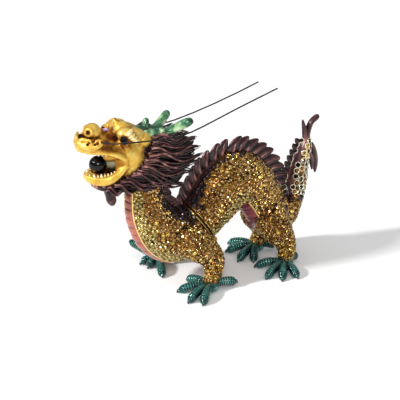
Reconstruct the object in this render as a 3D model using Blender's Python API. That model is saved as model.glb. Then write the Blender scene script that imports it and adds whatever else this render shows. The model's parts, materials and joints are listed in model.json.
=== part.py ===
"""A trinket box cast as a walking dragon with its head high, its back humped and its tail up.

The body is one bent tube. It parts at a slanting seam behind the forelegs, where a small hinge
under the belly joins the two castings, and both castings are hollow there.
Lengths are in millimetres until a mesh is made. The dragon looks towards -X and stands on Z = 0.
"""

import math

import bmesh
import bpy
from mathutils import Matrix, Vector

# Driving dimensions, in millimetres
unit = 0.001
wall = 1.6
seam_gap = 0.4
seam_slope = math.radians(35.0)
seam_point = Vector((-13.2, 0.0, 25.0))
hinge_barrel_radius = 1.5
hinge_pin_radius = 0.6
hinge_pin_clearance = 0.12
hinge_width = 9.0
hinge_middle_width = 3.0
hinge_side_gap = 0.3
hinge_pocket_gap = 0.35
pearl_radius = 3.7
pearl_gap = 0.3
eye_radius = 1.5
whisker_radius = 0.32
whisker_gap = 0.12
far_whisker_sag = 3.4
far_whisker_bow = 1.7
far_whisker_drop = 1.4
smooth_below = math.radians(38.0)
sliver_length = 0.004

# The body's centre line seen from the side: x, z and radius, from the skull to the tail's tip
body_line = (
    (-37.0, 60.0, 7.2),
    (-37.6, 50.0, 7.5),
    (-37.6, 41.0, 8.1),
    (-35.8, 32.0, 9.5),
    (-29.8, 23.4, 11.5),
    (-21.0, 19.4, 11.7),
    (-13.2, 25.0, 10.6),
    (-7.0, 32.8, 10.8),
    (-1.8, 38.0, 11.4),
    (5.6, 40.3, 11.8),
    (12.4, 37.2, 11.0),
    (17.4, 30.6, 9.8),
    (22.4, 22.4, 9.2),
    (28.8, 18.6, 8.0),
    (33.4, 22.8, 5.8),
    (36.4, 31.0, 5.1),
    (38.4, 40.0, 4.2),
    (41.0, 48.0, 3.2),
    (42.0, 51.6, 2.0),
)

# The fuller underside from the hinge to the top of the arch between the legs, as x, z and radius
flank_line = (
    (-17.6, 19.0, 9.6),
    (-12.0, 24.0, 10.2),
    (-5.2, 30.4, 10.7),
    (1.6, 34.8, 10.4),
    (8.0, 36.0, 9.8),
)


# Curves and the body's own axes


def smooth_line(points, steps):
    """A Catmull-Rom curve through the points, with that many steps between each two."""
    ends = [points[0], *points, points[-1]]
    made = []
    for a, b, c, d in zip(ends, ends[1:], ends[2:], ends[3:]):
        for k in range(steps):
            t = k / steps
            made.append(
                tuple(
                    0.5
                    * (
                        2 * q
                        + (r - p) * t
                        + (2 * p - 5 * q + 4 * r - s) * t**2
                        + (3 * q - p - 3 * r + s) * t**3
                    )
                    for p, q, r, s in zip(a, b, c, d)
                )
            )
    made.append(tuple(points[-1]))
    return made


def with_lengths(line):
    """Each point of a side-view line with the length of line before it."""
    total = 0.0
    made = [(0.0, line[0])]
    for before, after in zip(line, line[1:]):
        total += math.hypot(after[0] - before[0], after[1] - before[1])
        made.append((total, after))
    return made


measured_body = with_lengths(smooth_line(body_line, 8))
measured_flank = with_lengths(smooth_line(flank_line, 6))
body_length = measured_body[-1][0]
flank_length = measured_flank[-1][0]


def line_at(measured, length):
    """Centre, tangent, dorsal direction and radius of a measured line at that length."""
    length = min(max(length, 0.0), measured[-1][0])
    for (start, p), (end, q) in zip(measured, measured[1:]):
        if length <= end:
            break
    share = (length - start) / (end - start)
    centre = Vector((p[0] + (q[0] - p[0]) * share, 0.0, p[1] + (q[1] - p[1]) * share))
    tangent = Vector((q[0] - p[0], 0.0, q[1] - p[1])).normalized()
    dorsal = Vector((-tangent.z, 0.0, tangent.x))
    return centre, tangent, dorsal, p[2] + (q[2] - p[2]) * share


def body_at(length):
    return line_at(measured_body, length)


def length_near(point):
    """The length along the body that is nearest to a point."""
    return min(
        measured_body,
        key=lambda row: math.hypot(row[1][0] - point.x, row[1][1] - point.z),
    )[0]


seam_length = length_near(seam_point)
seam_normal = Vector((math.cos(seam_slope), 0.0, math.sin(seam_slope)))
seam_down = Vector((seam_normal.z, 0.0, -seam_normal.x))


# Shapes, each as a mesh in millimetres


def closed_mesh(shape):
    """A bmesh as a mesh, with its doubles merged and its faces pointing out."""
    bmesh.ops.remove_doubles(shape, verts=shape.verts, dist=0.001)
    bmesh.ops.recalc_face_normals(shape, faces=shape.faces)
    mesh = bpy.data.meshes.new("shape")
    shape.to_mesh(mesh)
    shape.free()
    return mesh


def tube(points, radii, sides=8, flatten=1.0):
    """A round tube with capped ends along the points, its width across the dragon times flatten."""
    curve = bpy.data.curves.new("line", "CURVE")
    curve.dimensions = "3D"
    curve.twist_mode = "MINIMUM"
    curve.bevel_depth = 1.0
    curve.bevel_resolution = (sides - 4) // 2
    curve.use_fill_caps = True
    spline = curve.splines.new("POLY")
    spline.points.add(len(points) - 1)
    for point, place, radius in zip(spline.points, points, radii):
        point.co = (*place, 1.0)
        point.radius = radius
    guide = bpy.data.objects.new("line", curve)
    bpy.context.scene.collection.objects.link(guide)
    graph = bpy.context.evaluated_depsgraph_get()
    mesh = bpy.data.meshes.new_from_object(guide.evaluated_get(graph))
    bpy.data.objects.remove(guide)
    bpy.data.curves.remove(curve)
    middle = sum(place[1] for place in points) / len(points)
    mesh.transform(
        Matrix.Translation((0, middle, 0))
        @ Matrix.Diagonal((1, flatten, 1, 1))
        @ Matrix.Translation((0, -middle, 0))
    )
    shape = bmesh.new()
    shape.from_mesh(mesh)
    bpy.data.meshes.remove(mesh)
    return closed_mesh(shape)


def ball(centre, radii, pitch=0.0, sides=10, rings=6):
    """An ellipsoid, turned in side view by pitch in degrees."""
    shape = bmesh.new()
    place = (
        Matrix.Translation(centre)
        @ Matrix.Rotation(math.radians(pitch), 4, "Y")
        @ Matrix.Diagonal((*radii, 1))
    )
    bmesh.ops.create_uvsphere(shape, u_segments=sides, v_segments=rings, radius=1.0, matrix=place)
    return closed_mesh(shape)


def rod(start, end, start_radius, end_radius, sides=8):
    """A straight cylinder or cone between two points."""
    start, end = Vector(start), Vector(end)
    along = end - start
    place = Matrix.Translation((start + end) / 2) @ along.to_track_quat("Z", "Y").to_matrix().to_4x4()
    shape = bmesh.new()
    bmesh.ops.create_cone(
        shape,
        cap_ends=True,
        segments=sides,
        radius1=start_radius,
        radius2=end_radius,
        depth=along.length,
        matrix=place,
    )
    return closed_mesh(shape)


def block(centre, normal, depth, size):
    """A box with one face through centre, reaching depth along normal, which lies in side view."""
    shape = bmesh.new()
    slope = math.atan2(-normal.z, normal.x)
    place = (
        Matrix.Translation(Vector(centre) + normal * depth / 2)
        @ Matrix.Rotation(slope, 4, "Y")
        @ Matrix.Diagonal((depth, size, size, 1))
    )
    bmesh.ops.create_cube(shape, size=1.0, matrix=place)
    return closed_mesh(shape)


def mirrored(mesh):
    """The same shape on the dragon's other side."""
    other = mesh.copy()
    other.transform(Matrix.Diagonal((1, -1, 1, 1)))
    other.flip_normals()
    return other


def both_sides(meshes):
    return [*meshes, *(mirrored(mesh) for mesh in meshes)]


# Joining and cutting


def as_object(mesh, name="helper"):
    made = bpy.data.objects.new(name, mesh)
    bpy.context.scene.collection.objects.link(made)
    return made


def gathered(meshes):
    """All of the meshes as one mesh of overlapping bodies."""
    shape = bmesh.new()
    for mesh in meshes:
        shape.from_mesh(mesh)
    made = bpy.data.meshes.new("gathered")
    shape.to_mesh(made)
    shape.free()
    return made


def boolean(mesh, other, operation, overlapping=False):
    """The mesh after a Boolean with another one."""
    body = as_object(mesh)
    tool = as_object(other)
    step = body.modifiers.new("join", "BOOLEAN")
    step.operation = operation
    step.solver = "EXACT"
    step.use_self = overlapping
    step.object = tool
    graph = bpy.context.evaluated_depsgraph_get()
    made = bpy.data.meshes.new_from_object(body.evaluated_get(graph))
    bpy.data.objects.remove(body)
    bpy.data.objects.remove(tool)
    return made


def fused(meshes):
    """One solid out of overlapping ones."""
    return boolean(meshes[0], gathered(meshes[1:]), "UNION", overlapping=True)


def without(mesh, cutters):
    for cutter in cutters:
        mesh = boolean(mesh, cutter, "DIFFERENCE")
    return mesh


def thinned(mesh, triangles):
    """The same form in about that many triangles."""
    body = as_object(in_triangles(mesh, 0.0))
    step = body.modifiers.new("thin", "DECIMATE")
    step.ratio = min(1.0, triangles / len(body.data.polygons))
    graph = bpy.context.evaluated_depsgraph_get()
    made = bpy.data.meshes.new_from_object(body.evaluated_get(graph))
    bpy.data.objects.remove(body)
    return made


def in_triangles(mesh, smallest):
    """The mesh in triangles, with edges shorter than smallest merged away."""
    shape = bmesh.new()
    shape.from_mesh(mesh)
    if smallest:
        bmesh.ops.dissolve_degenerate(shape, edges=shape.edges, dist=smallest)
    bmesh.ops.triangulate(shape, faces=shape.faces)
    made = bpy.data.meshes.new("clean")
    shape.to_mesh(made)
    shape.free()
    return made


# The body: tube, belly plates, ridge and spines


def body_tube(start, end, step, inset=0.0, sides=14, close_ends=False):
    """The body between two lengths, inset by a wall. Closed ends round off over one radius."""
    count = max(2, round((end - start) / step))
    points, radii = [], []
    for k in range(count + 1):
        centre, _, _, radius = body_at(start + (end - start) * k / count)
        points.append(centre)
        radii.append(radius - inset)
    if close_ends:
        radii[0] *= 0.55
        radii[-1] *= 0.55
    return tube(points, radii, sides, body_width_share)


body_width_share = 0.86
belly_plate_pitch = 3.1
belly_plate_rise = 0.55
belly_groove_depth = 0.5
belly_width_share = 0.62


def flank():
    """The fuller underside, joined to the body tube on both sides of the seam."""
    points, radii = [], []
    for k in range(8):
        centre, _, _, radius = line_at(measured_flank, flank_length * k / 7)
        points.append(centre)
        radii.append(radius)
    return tube(points, radii, 14, body_width_share)


def belly_strip(measured, start, end):
    """The row of belly plates: a narrower tube that stands proud of the line, ringed by grooves."""
    plates = max(1, round((end - start) / belly_plate_pitch))
    points, radii = [], []
    for k in range(2 * plates + 1):
        centre, _, dorsal, radius = line_at(measured, start + (end - start) * k / (2 * plates))
        narrow = radius * belly_width_share
        points.append(centre - dorsal * (radius - narrow))
        groove = belly_groove_depth if k % 2 == 0 else 0.0
        radii.append(narrow + belly_plate_rise - groove)
    return tube(points, radii, 12)


ridge_radius = 2.6
ridge_rise = 0.7
spine_lean = 0.75


def ridge_strip(start, end, shares=(1.0, 1.0)):
    """The smooth band along the back that the spines stand on."""
    count = max(2, round((end - start) / 5.0))
    points, radii = [], []
    for k in range(count + 1):
        centre, _, dorsal, radius = body_at(start + (end - start) * k / count)
        share = shares[0] + (shares[1] - shares[0]) * k / count
        points.append(centre + dorsal * (radius + ridge_rise - ridge_radius * share))
        radii.append(ridge_radius * share)
    return tube(points, radii, 6)


def spine(length, height, width, lean):
    """One flat flame-shaped spine that leans towards the tail."""
    centre, tangent, dorsal, radius = body_at(length)
    root = centre + dorsal * (radius - 1.2)
    stages = ((0.0, 0.0, 1.0), (0.42, 0.10, 0.92), (0.78, 0.42, 0.56), (1.0, 1.0, 0.14))
    full = height + 1.2
    points = [root + dorsal * full * up + tangent * height * lean * back for up, back, _ in stages]
    return tube(points, [width * share for _, _, share in stages], 4, 0.62)


def spine_row(start, end, pitch, height_of, width, lean=spine_lean):
    """Spines at a pitch along the back. height_of turns the share of the row into a height."""
    count = max(1, round((end - start) / pitch))
    return [
        spine(start + (end - start) * k / count, height_of(k / count), width, lean)
        for k in range(count + 1)
    ]


# Legs and feet


def limb(points, sides=10):
    """A leg: a tapering tube through x, y, z and radius, ending in a round ankle."""
    line = smooth_line(points, 2)
    return tube([p[:3] for p in line], [p[3] for p in line], sides)


toe_radius = 1.75
toe_height = 2.9
claw_length = 1.7


def toe(ankle, heading, length, lift=0.0, first=0.22):
    """A toe arching out from the ankle, and the claw curving down from its tip."""
    out = Vector((math.cos(heading), math.sin(heading), 0.0))
    base = Vector((ankle[0], ankle[1], 0.0))
    stages = (
        (first, 1.0, 0.95),
        (0.5, 1.08, 1.0),
        (0.78, 0.82, 1.06),
        (0.97, 0.5, 0.98),
        (1.06, 0.42, 0.5),
    )
    points = [
        base + out * length * along + Vector((0, 0, toe_height * high + lift * along**2))
        for along, high, _ in stages
    ]
    knuckles = tube(points, [toe_radius * share for _, _, share in stages], 8)
    tip = points[-1]
    bend = tip + out * claw_length * 0.55 + Vector((0, 0, -0.25))
    claw = tube(
        [tip - out * 0.8, bend, bend + out * 0.5 + Vector((0, 0, -claw_length * 0.55))],
        [0.95, 0.62, 0.12],
        6,
    )
    return [knuckles, claw]


def foot(ankle, toes, spur, spur_length):
    """A foot: a flat pad under the ankle, toes as heading, length and lift, and a spur behind."""
    pieces = [ball((ankle[0], ankle[1], 2.3), (4.0, 4.0, 2.9), sides=12)]
    for heading, length, lift in toes:
        pieces += toe(ankle, math.radians(heading), length, lift)
    pieces += toe(ankle, math.radians(spur), spur_length, lift=1.0)
    return pieces


floor_cutter_size = 200.0


def cut_flat_below(mesh):
    """The feet cut flat where they stand."""
    below = block((-10.0, 0.0, 0.0), Vector((0, 0, -1)), 20.0, floor_cutter_size)
    return without(mesh, [below])


# The head


def head():
    """Skull, cheeks, muzzle, snout, brows and jaw."""
    one_side = [
        ball((-47.0, -4.8, 60.4), (7.4, 4.8, 9.4), -25, 12, 8),
        ball((-48.2, -3.4, 71.0), (4.4, 3.8, 3.4), 10, 12, 7),
        tube([(-49.4, -2.6, 72.6), (-49.0, -2.4, 74.0), (-48.0, -2.2, 74.7)], [1.7, 1.0, 0.3], 6),
        ball((-50.4, -8.3, 67.0), (2.3, 1.5, 1.2), -20, 8, 6),
        ball((-64.7, -5.2, 70.1), (1.7, 1.5, 1.5), 0, 8, 6),
        rod((-61.4, -5.2, 69.7), (-59.4, -6.9, 69.7), 1.6, 1.1, 8),
    ]
    middle = [
        ball((-45.2, 0.0, 63.9), (9.2, 9.0, 8.8), -15, 12, 8),
        ball((-58.6, 0.0, 66.8), (9.6, 7.2, 3.8), 3, 14, 7),
        ball((-56.2, 0.0, 69.6), (6.0, 3.4, 2.7), 4, 10, 6),
        ball((-60.6, 0.0, 72.2), (3.4, 3.8, 3.9), 0, 12, 8),
        rod((-61.2, 0.0, 72.3), (-64.2, 0.0, 72.1), 3.6, 3.3, 12),
        ball((-55.4, 0.0, 52.0), (7.4, 6.2, 3.3), 14, 12, 7),
    ]
    return middle + both_sides(one_side) + [moustache(), upper_rim(), lower_rim()] + brow_curls()


def round_the_front(half):
    """A line round the front of the face, from one half and its mirror image."""
    return [*half, *((x, -y, z) for x, y, z in reversed(half[:-1]))]


def moustache():
    """The thick curled lip that runs under the snout from one whisker to the other."""
    half = [
        (-50.8, -8.6, 66.6),
        (-56.0, -7.6, 68.4),
        (-61.0, -6.6, 69.4),
        (-65.0, -4.9, 68.9),
        (-66.9, -2.4, 69.2),
        (-67.3, 0.0, 68.8),
    ]
    radii = [0.9, 1.2, 1.3, 1.3, 1.3, 1.3]
    return tube(round_the_front(half), radii + radii[-2::-1], 8)


def upper_rim():
    half = [
        (-51.4, -8.3, 61.2),
        (-54.6, -7.8, 63.4),
        (-58.6, -6.9, 65.0),
        (-63.0, -5.2, 65.6),
        (-65.8, -2.8, 66.0),
        (-66.5, 0.0, 66.2),
    ]
    radii = [1.5, 1.5, 1.6, 1.7, 1.6, 1.5]
    return tube(round_the_front(half), radii + radii[-2::-1], 8)


def lower_rim():
    half = [
        (-50.0, -8.2, 58.0),
        (-54.2, -7.2, 54.6),
        (-58.2, -5.8, 53.2),
        (-61.3, -3.3, 53.2),
        (-62.3, 0.0, 53.5),
    ]
    radii = [2.6, 2.5, 2.4, 2.2, 2.2]
    return tube(round_the_front(half), radii + radii[-2::-1], 8)


def brow_curls():
    """Short lobes that fan back from each brow above the eye."""
    one_side = []
    for k in range(3):
        start = Vector((-48.8 + 1.3 * k, -7.0, 70.6 - 0.5 * k))
        sweep = math.radians(30 - 30 * k)
        tip = start + Vector((math.cos(sweep), -0.25, math.sin(sweep) * 0.8)) * 3.6
        middle = (start + tip) / 2 + Vector((0, -0.7, 0))
        one_side.append(tube([start, middle, tip], [1.2, 1.2, 0.5], 6))
    return both_sides(one_side)


teeth_a_side = 5
tooth_length = 1.7


def teeth():
    """Pointed teeth along both jaws."""
    one_side = []
    for k in range(teeth_a_side):
        share = k / (teeth_a_side - 1)
        upper = Vector((-65.0 + 11.4 * share, -2.6 - 4.6 * share**0.6, 65.6 - 2.2 * share**2))
        lower = Vector((-61.2 + 8.4 * share, -2.8 - 4.4 * share**0.6, 55.3 + 0.6 * share**2))
        one_side.append(rod(upper, upper + Vector((0, 0.3, -tooth_length - 0.6)), 0.9, 0.2, 5))
        one_side.append(rod(lower, lower + Vector((0, 0.3, tooth_length)), 0.9, 0.2, 5))
    return both_sides(one_side)


def tongue():
    return tube([(-47.0, 0.0, 58.2), (-51.6, 0.0, 58.6), (-54.4, 0.0, 57.6)], [4.2, 3.6, 2.6], 8, 1.3)


def antler(spread, lift):
    """A beam that runs back and turns up and out by spread and lift, and a short prong near its root."""
    beam = [
        (-42.4, -4.4, 68.8),
        (-38.4, -5.0, 68.9),
        (-33.8, -5.2, 68.6),
        (-29.2, -5.6, 68.6),
        (-25.2, -6.4 - 0.4 * spread, 69.8 + 0.4 * lift),
        (-22.2, -7.4 - 0.8 * spread, 71.0 + 0.8 * lift),
        (-20.2, -8.2 - spread, 71.8 + lift),
    ]
    prong = [(-32.0, -5.0, 68.6), (-30.8, -6.4, 69.2), (-30.0, -7.2, 70.0)]
    return [tube(beam, [1.7, 1.8, 1.8, 1.8, 2.0, 2.0, 1.4], 8), tube(prong, [1.6, 1.4, 0.9], 6)]


def antlers():
    """The near antler, and the other one, which was cast a little lower and closer."""
    return antler(1.5, 1.2) + [mirrored(mesh) for mesh in antler(0.0, -1.0)]


# The mane


def lock(root, tip, radius, swing=1.2, bulge=1.0):
    """One lock of hair from root to tip, waving once in side view and bowed outwards."""
    root, tip = Vector(root), Vector(tip)
    side = math.copysign(1.0, root.y)
    points, radii = [], []
    for share, thick in ((0.0, 0.75), (0.28, 1.0), (0.55, 0.92), (0.8, 0.58), (1.0, 0.14)):
        place = root.lerp(tip, share)
        place.z += swing * math.sin(share * 2 * math.pi)
        place.y += side * bulge * math.sin(share * math.pi)
        points.append(place)
        radii.append(radius * thick)
    return tube(points, radii, 6)


outer_locks = 9
inner_locks = 7
nape_locks = 5


def mane():
    """The collar of hair behind the face: a thick core, and two layers of locks down each side."""
    core = [
        ball((-36.4, 0.0, 59.4), (10.6, 9.6, 11.0), 32, 12, 8),
        ball((-46.0, 0.0, 52.2), (8.4, 8.6, 5.0), -28, 12, 7),
        ball((-26.8, 0.0, 54.8), (8.6, 5.6, 6.2), 30, 10, 7),
    ]
    one_side = []
    for k in range(outer_locks):
        share = k / (outer_locks - 1)
        turn = math.radians(-4 + 96 * share)
        width = 8.0 + 1.6 * math.sin(share * math.pi)
        root = Vector((-38.6 - 13.8 * share, -width, 68.0 - 17.2 * share))
        reach = 17.5 - 12.5 * share
        tip = root + Vector((math.cos(turn) * reach, 0.3, -math.sin(turn) * reach * 0.72))
        one_side.append(lock(root, tip, 1.9 - 0.3 * share))
    for k in range(inner_locks):
        share = k / (inner_locks - 1)
        turn = math.radians(14 + 68 * share)
        root = Vector((-31.0 - 9.0 * share, -7.4, 63.2 - 10.2 * share))
        reach = 17.5 - 6.5 * share
        tip = root + Vector((math.cos(turn) * reach, 2.4 - share, -math.sin(turn) * reach * 0.75))
        one_side.append(lock(root, tip, 2.0))
    for k in range(nape_locks):
        share = k / (nape_locks - 1)
        root = Vector((-29.0 - 4.0 * share, -3.8, 58.0 - 6.5 * share))
        tip = Vector((-12.2 - 11.0 * share, -3.4, 55.0 - 12.4 * share))
        one_side.append(lock(root, tip, 2.3, 0.9, 0.6))
    crown = [
        lock((-34.0, y, 65.9), (-15.6 - 0.6 * abs(y), y, 61.8 - 0.5 * abs(y)), 2.5, 1.2, 0.0)
        for y in (-3.2, 0.1, 3.2)
    ]
    return core + crown + both_sides(one_side)


def beard():
    """The band under the chin and the blunt tuft that hangs from it."""
    tuft = [(-54.2, 0.0, 49.0), (-53.3, 0.0, 45.0), (-52.6, 0.0, 41.8), (-52.4, 0.0, 40.0)]
    band = [(-60.4, 0.0, 49.8), (-57.0, 0.0, 48.2), (-52.0, 0.0, 48.2), (-47.0, 0.0, 48.6)]
    return [tube(tuft, [2.1, 2.1, 2.1, 1.4], 8, 1.1), tube(band, [1.3, 1.8, 2.5, 3.0], 8, 2.0)]


# The hinge under the belly


hinge_reach = body_at(seam_length)[3] + belly_plate_rise + 0.3
hinge_axis = seam_point + seam_down * hinge_reach


def knuckle(start, end, radius):
    return rod(hinge_axis + Vector((0, start, 0)), hinge_axis + Vector((0, end, 0)), radius, radius, 16)


def hinge_spans():
    """The y spans of the two front knuckles and of the rear one between them."""
    half, middle = hinge_width / 2, hinge_middle_width / 2
    outer = middle + hinge_side_gap
    return [(-half, -outer), (outer, half)], [(-middle, middle)]


def knuckles(spans):
    return [knuckle(start, end, hinge_barrel_radius) for start, end in spans]


def pockets(spans):
    """Room for the other half's knuckles."""
    radius = hinge_barrel_radius + hinge_pocket_gap
    return [knuckle(start - hinge_side_gap, end + hinge_side_gap, radius) for start, end in spans]


def pin_hole():
    return knuckle(-hinge_width, hinge_width, hinge_pin_radius + hinge_pin_clearance)


# The two castings


cavity_front_length = 19.0
cavity_rear_length = 22.0


def seam_cutter(side):
    """Everything on one side of the seam: 1 is the tail's side, and -1 the head's."""
    normal = seam_normal * side
    return block(seam_point - normal * seam_gap / 2, normal, 90.0, 120.0)


def cavity():
    return body_tube(
        seam_length - cavity_front_length,
        seam_length + cavity_rear_length,
        3.6,
        wall,
        12,
        close_ends=True,
    )


# Legs as x, y, z and radius down to the foot, then toes as heading, length and lift, and the spur
near_front_leg = (
    (-22.5, -6.0, 20.5, 7.6),
    (-16.8, -10.8, 16.6, 6.7),
    (-12.6, -13.8, 11.6, 4.6),
    (-14.4, -16.6, 5.8, 3.6),
    (-17.2, -18.6, 2.6, 3.6),
)
far_front_leg = (
    (-23.0, 6.0, 20.5, 7.4),
    (-20.0, 11.4, 16.0, 6.6),
    (-18.4, 14.2, 11.0, 4.8),
    (-20.6, 16.0, 5.8, 3.8),
    (-22.2, 16.6, 2.6, 3.6),
)
near_hind_leg = (
    (20.6, -4.0, 20.0, 8.2),
    (23.0, -7.8, 14.8, 6.6),
    (25.3, -10.8, 9.6, 4.4),
    (24.4, -12.8, 5.4, 3.5),
    (22.8, -14.0, 2.6, 3.6),
)
far_hind_leg = (
    (20.6, 4.0, 20.0, 8.2),
    (23.4, 6.4, 14.4, 6.4),
    (24.8, 7.2, 9.2, 4.3),
    (23.2, 7.6, 5.2, 3.7),
    (21.6, 7.8, 2.6, 3.6),
)
near_front_toes = ((104, 12.4, 0.0), (160, 12.2, 0.0), (206, 14.2, 0.0), (230, 14.0, 0.0))
far_front_toes = ((111, 15.0, 4.6), (165, 7.4, 0.0), (205, 6.5, 0.0), (248, 14.8, 0.0))
near_hind_toes = ((155, 11.6, 0.0), (208, 14.4, 0.0), (234, 14.0, 0.0), (262, 12.4, 0.0))
far_hind_toes = ((124, 12.0, 0.0), (165, 12.2, 0.0), (210, 14.4, 0.0), (235, 13.0, 0.0))


front_trunk_triangles = 2100
head_triangles = 2600
rear_triangles = 2300


def front_casting():
    """Head, mane, neck, chest and forelegs in one casting, open at the seam."""
    neck_end = seam_length + 8.0
    trunk = [
        body_tube(0.0, neck_end, 4.0),
        flank(),
        belly_strip(measured_body, 12.0, seam_length - 6.0),
        belly_strip(measured_flank, 0.0, flank_length - 6.0),
        limb(near_front_leg),
        limb(far_front_leg),
        ridge_strip(22.0, neck_end),
        *spine_row(20.0, seam_length - 2.5, 4.2, lambda share: 4.4 - 1.0 * share, 2.6),
    ]
    trunk += foot(near_front_leg[-1], near_front_toes, -6, 11.4)
    trunk += foot(far_front_leg[-1], far_front_toes, -4, 11.0)
    trunk = without(thinned(fused(trunk), front_trunk_triangles), [seam_cutter(1)])
    face = thinned(fused([*head(), tongue(), *antlers(), *mane(), *beard()]), head_triangles)
    front_knuckles, rear_knuckle = hinge_spans()
    whole = fused([trunk, face, *teeth(), *knuckles(front_knuckles)])
    sockets = [*whisker_sockets(), *eye_sockets(), pearl_seat()]
    return cut_flat_below(without(whole, [cavity(), *pockets(rear_knuckle), pin_hole(), *sockets]))


def rear_casting():
    """Hump, haunches, hind legs and tail in one casting, open at the seam."""
    start = seam_length - 8.0
    tail_start = length_near(Vector((33.0, 0.0, 20.0)))
    trunk = [
        body_tube(start, body_length, 4.0),
        flank(),
        belly_strip(measured_flank, 0.0, flank_length - 2.0),
        belly_strip(measured_body, length_near(Vector((18.6, 0.0, 28.8))), tail_start - 6.0),
        limb(near_hind_leg),
        limb(far_hind_leg),
        ridge_strip(start, body_length - 3.0, (1.0, 0.5)),
        *spine_row(seam_length + 2.0, tail_start - 6.0, 4.1, hump_height, 3.2),
        *spine_row(tail_start + 3.0, body_length - 3.0, 3.6, lambda share: 4.8 - 2.2 * share, 2.4, 0.35),
        *tail_tuft(),
    ]
    trunk += foot(near_hind_leg[-1], near_hind_toes, 25, 8.6)
    trunk += foot(far_hind_leg[-1], far_hind_toes, -27, 8.0)
    trunk = without(thinned(fused(trunk), rear_triangles), [seam_cutter(-1)])
    front_knuckles, rear_knuckle = hinge_spans()
    whole = fused([trunk, *knuckles(rear_knuckle)])
    return cut_flat_below(without(whole, [cavity(), *pockets(front_knuckles), pin_hole()]))


def hump_height(share):
    """Spines stay tall up to the hump's top and shrink towards the tail."""
    return 6.8 - 5.6 * share**1.5


def tail_tuft():
    """The hair at the tail's end: a blunt prong, a fine one, and two leaves hanging behind."""
    end = Vector((42.0, 0.0, 51.0))
    blunt = [(-0.4, -3.0), (0.4, 2.8), (2.0, 6.8), (5.4, 9.0)]
    fine = [(-0.4, -2.0), (-1.2, 4.0), (-2.2, 8.8)]
    outer_leaf = [(42.0, 49.5), (45.2, 46.5), (46.9, 40.0), (47.2, 34.4)]
    inner_leaf = [(41.6, 46.0), (43.8, 42.0), (44.6, 36.6)]
    return [
        tube([end + Vector((x, 0, z)) for x, z in blunt], [1.9, 1.4, 1.3, 1.2], 6),
        tube([end + Vector((x, 0, z)) for x, z in fine], [1.6, 1.2, 0.4], 6),
        tube([(x, 0.7, z) for x, z in outer_leaf], [1.2, 1.5, 1.5, 0.6], 6),
        tube([(x, -0.9, z) for x, z in inner_leaf], [1.2, 1.3, 0.5], 6),
    ]


# What is set into the castings


pearl_centre = Vector((-58.3, 0.0, 57.9))
eye_centre = Vector((-50.9, -8.5, 69.4))
whisker_root = Vector((-59.5, -7.2, 69.7))
whisker_into_face = Vector((-1.5, 1.3, 0.0))


def pearl_seat():
    """The hollow in tongue and jaw that the pearl rests in."""
    return ball(pearl_centre, (pearl_radius + pearl_gap,) * 3, sides=16, rings=10)


def eye_sockets():
    socket = ball(eye_centre, (eye_radius + 0.15,) * 3, sides=10, rings=8)
    return [socket, mirrored(socket)]


def whisker_sockets():
    radius = whisker_radius + whisker_gap
    outer = whisker_root - whisker_into_face * 0.8
    socket = rod(whisker_root + whisker_into_face * 1.2, outer, radius, radius, 10)
    return [socket, mirrored(socket)]


def whisker(sag=0.0, bow=0.0, drop=0.0):
    """A stiff wire from beside the nose, back past the antlers and up over the back."""
    route = (
        whisker_root + whisker_into_face,
        whisker_root,
        (-55.5, -10.8, 69.5),
        (-48.0, -12.0, 69.2),
        (-38.0, -12.8, 68.6),
        (-27.0, -12.6, 68.4),
        (-16.0, -10.8, 69.8),
        (2.0, -8.6, 74.0),
        (21.8, -7.5, 79.0),
    )
    steps = 2
    line = smooth_line([tuple(place) for place in route], steps)
    rooted = steps + 1
    bent = []
    for k, (x, y, z) in enumerate(line):
        share = max(0, k - rooted) / (len(line) - 1 - rooted)
        swell = math.sin(math.pi * share**1.2)
        bent.append((x, y - bow * swell, z - sag * swell - drop * share))
    return tube(bent, [whisker_radius] * len(line), 6)


# The scene


def finish(name, colour, roughness, metallic):
    material = bpy.data.materials.new(name)
    material.use_nodes = True
    shader = material.node_tree.nodes["Principled BSDF"]
    shader.inputs["Base Color"].default_value = (*colour, 1.0)
    shader.inputs["Roughness"].default_value = roughness
    shader.inputs["Metallic"].default_value = metallic
    return material


def placed(name, mesh, material, collection, parent):
    """A finished piece in metres, with its origin at its parent's, which holds it in place."""
    mesh = in_triangles(mesh, sliver_length)
    mesh.transform(Matrix.Diagonal((unit, unit, unit, 1)))
    if parent.parent:
        mesh.transform(Matrix.Translation(-parent.location))
    mesh.materials.clear()
    mesh.materials.append(material)
    mesh.shade_smooth()
    mesh.set_sharp_from_angle(angle=smooth_below)
    made = bpy.data.objects.new(name, mesh)
    made.parent = parent
    collection.objects.link(made)
    return made


def centre_on_footprint(parent, pieces):
    """Moves the dragon so that the middle of its outline on the floor is the origin."""
    bpy.context.view_layer.update()
    corners = [piece.matrix_world @ vertex.co for piece in pieces for vertex in piece.data.vertices]
    for axis in (0, 1):
        low = min(corner[axis] for corner in corners)
        high = max(corner[axis] for corner in corners)
        parent.location[axis] = -(low + high) / 2


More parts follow.
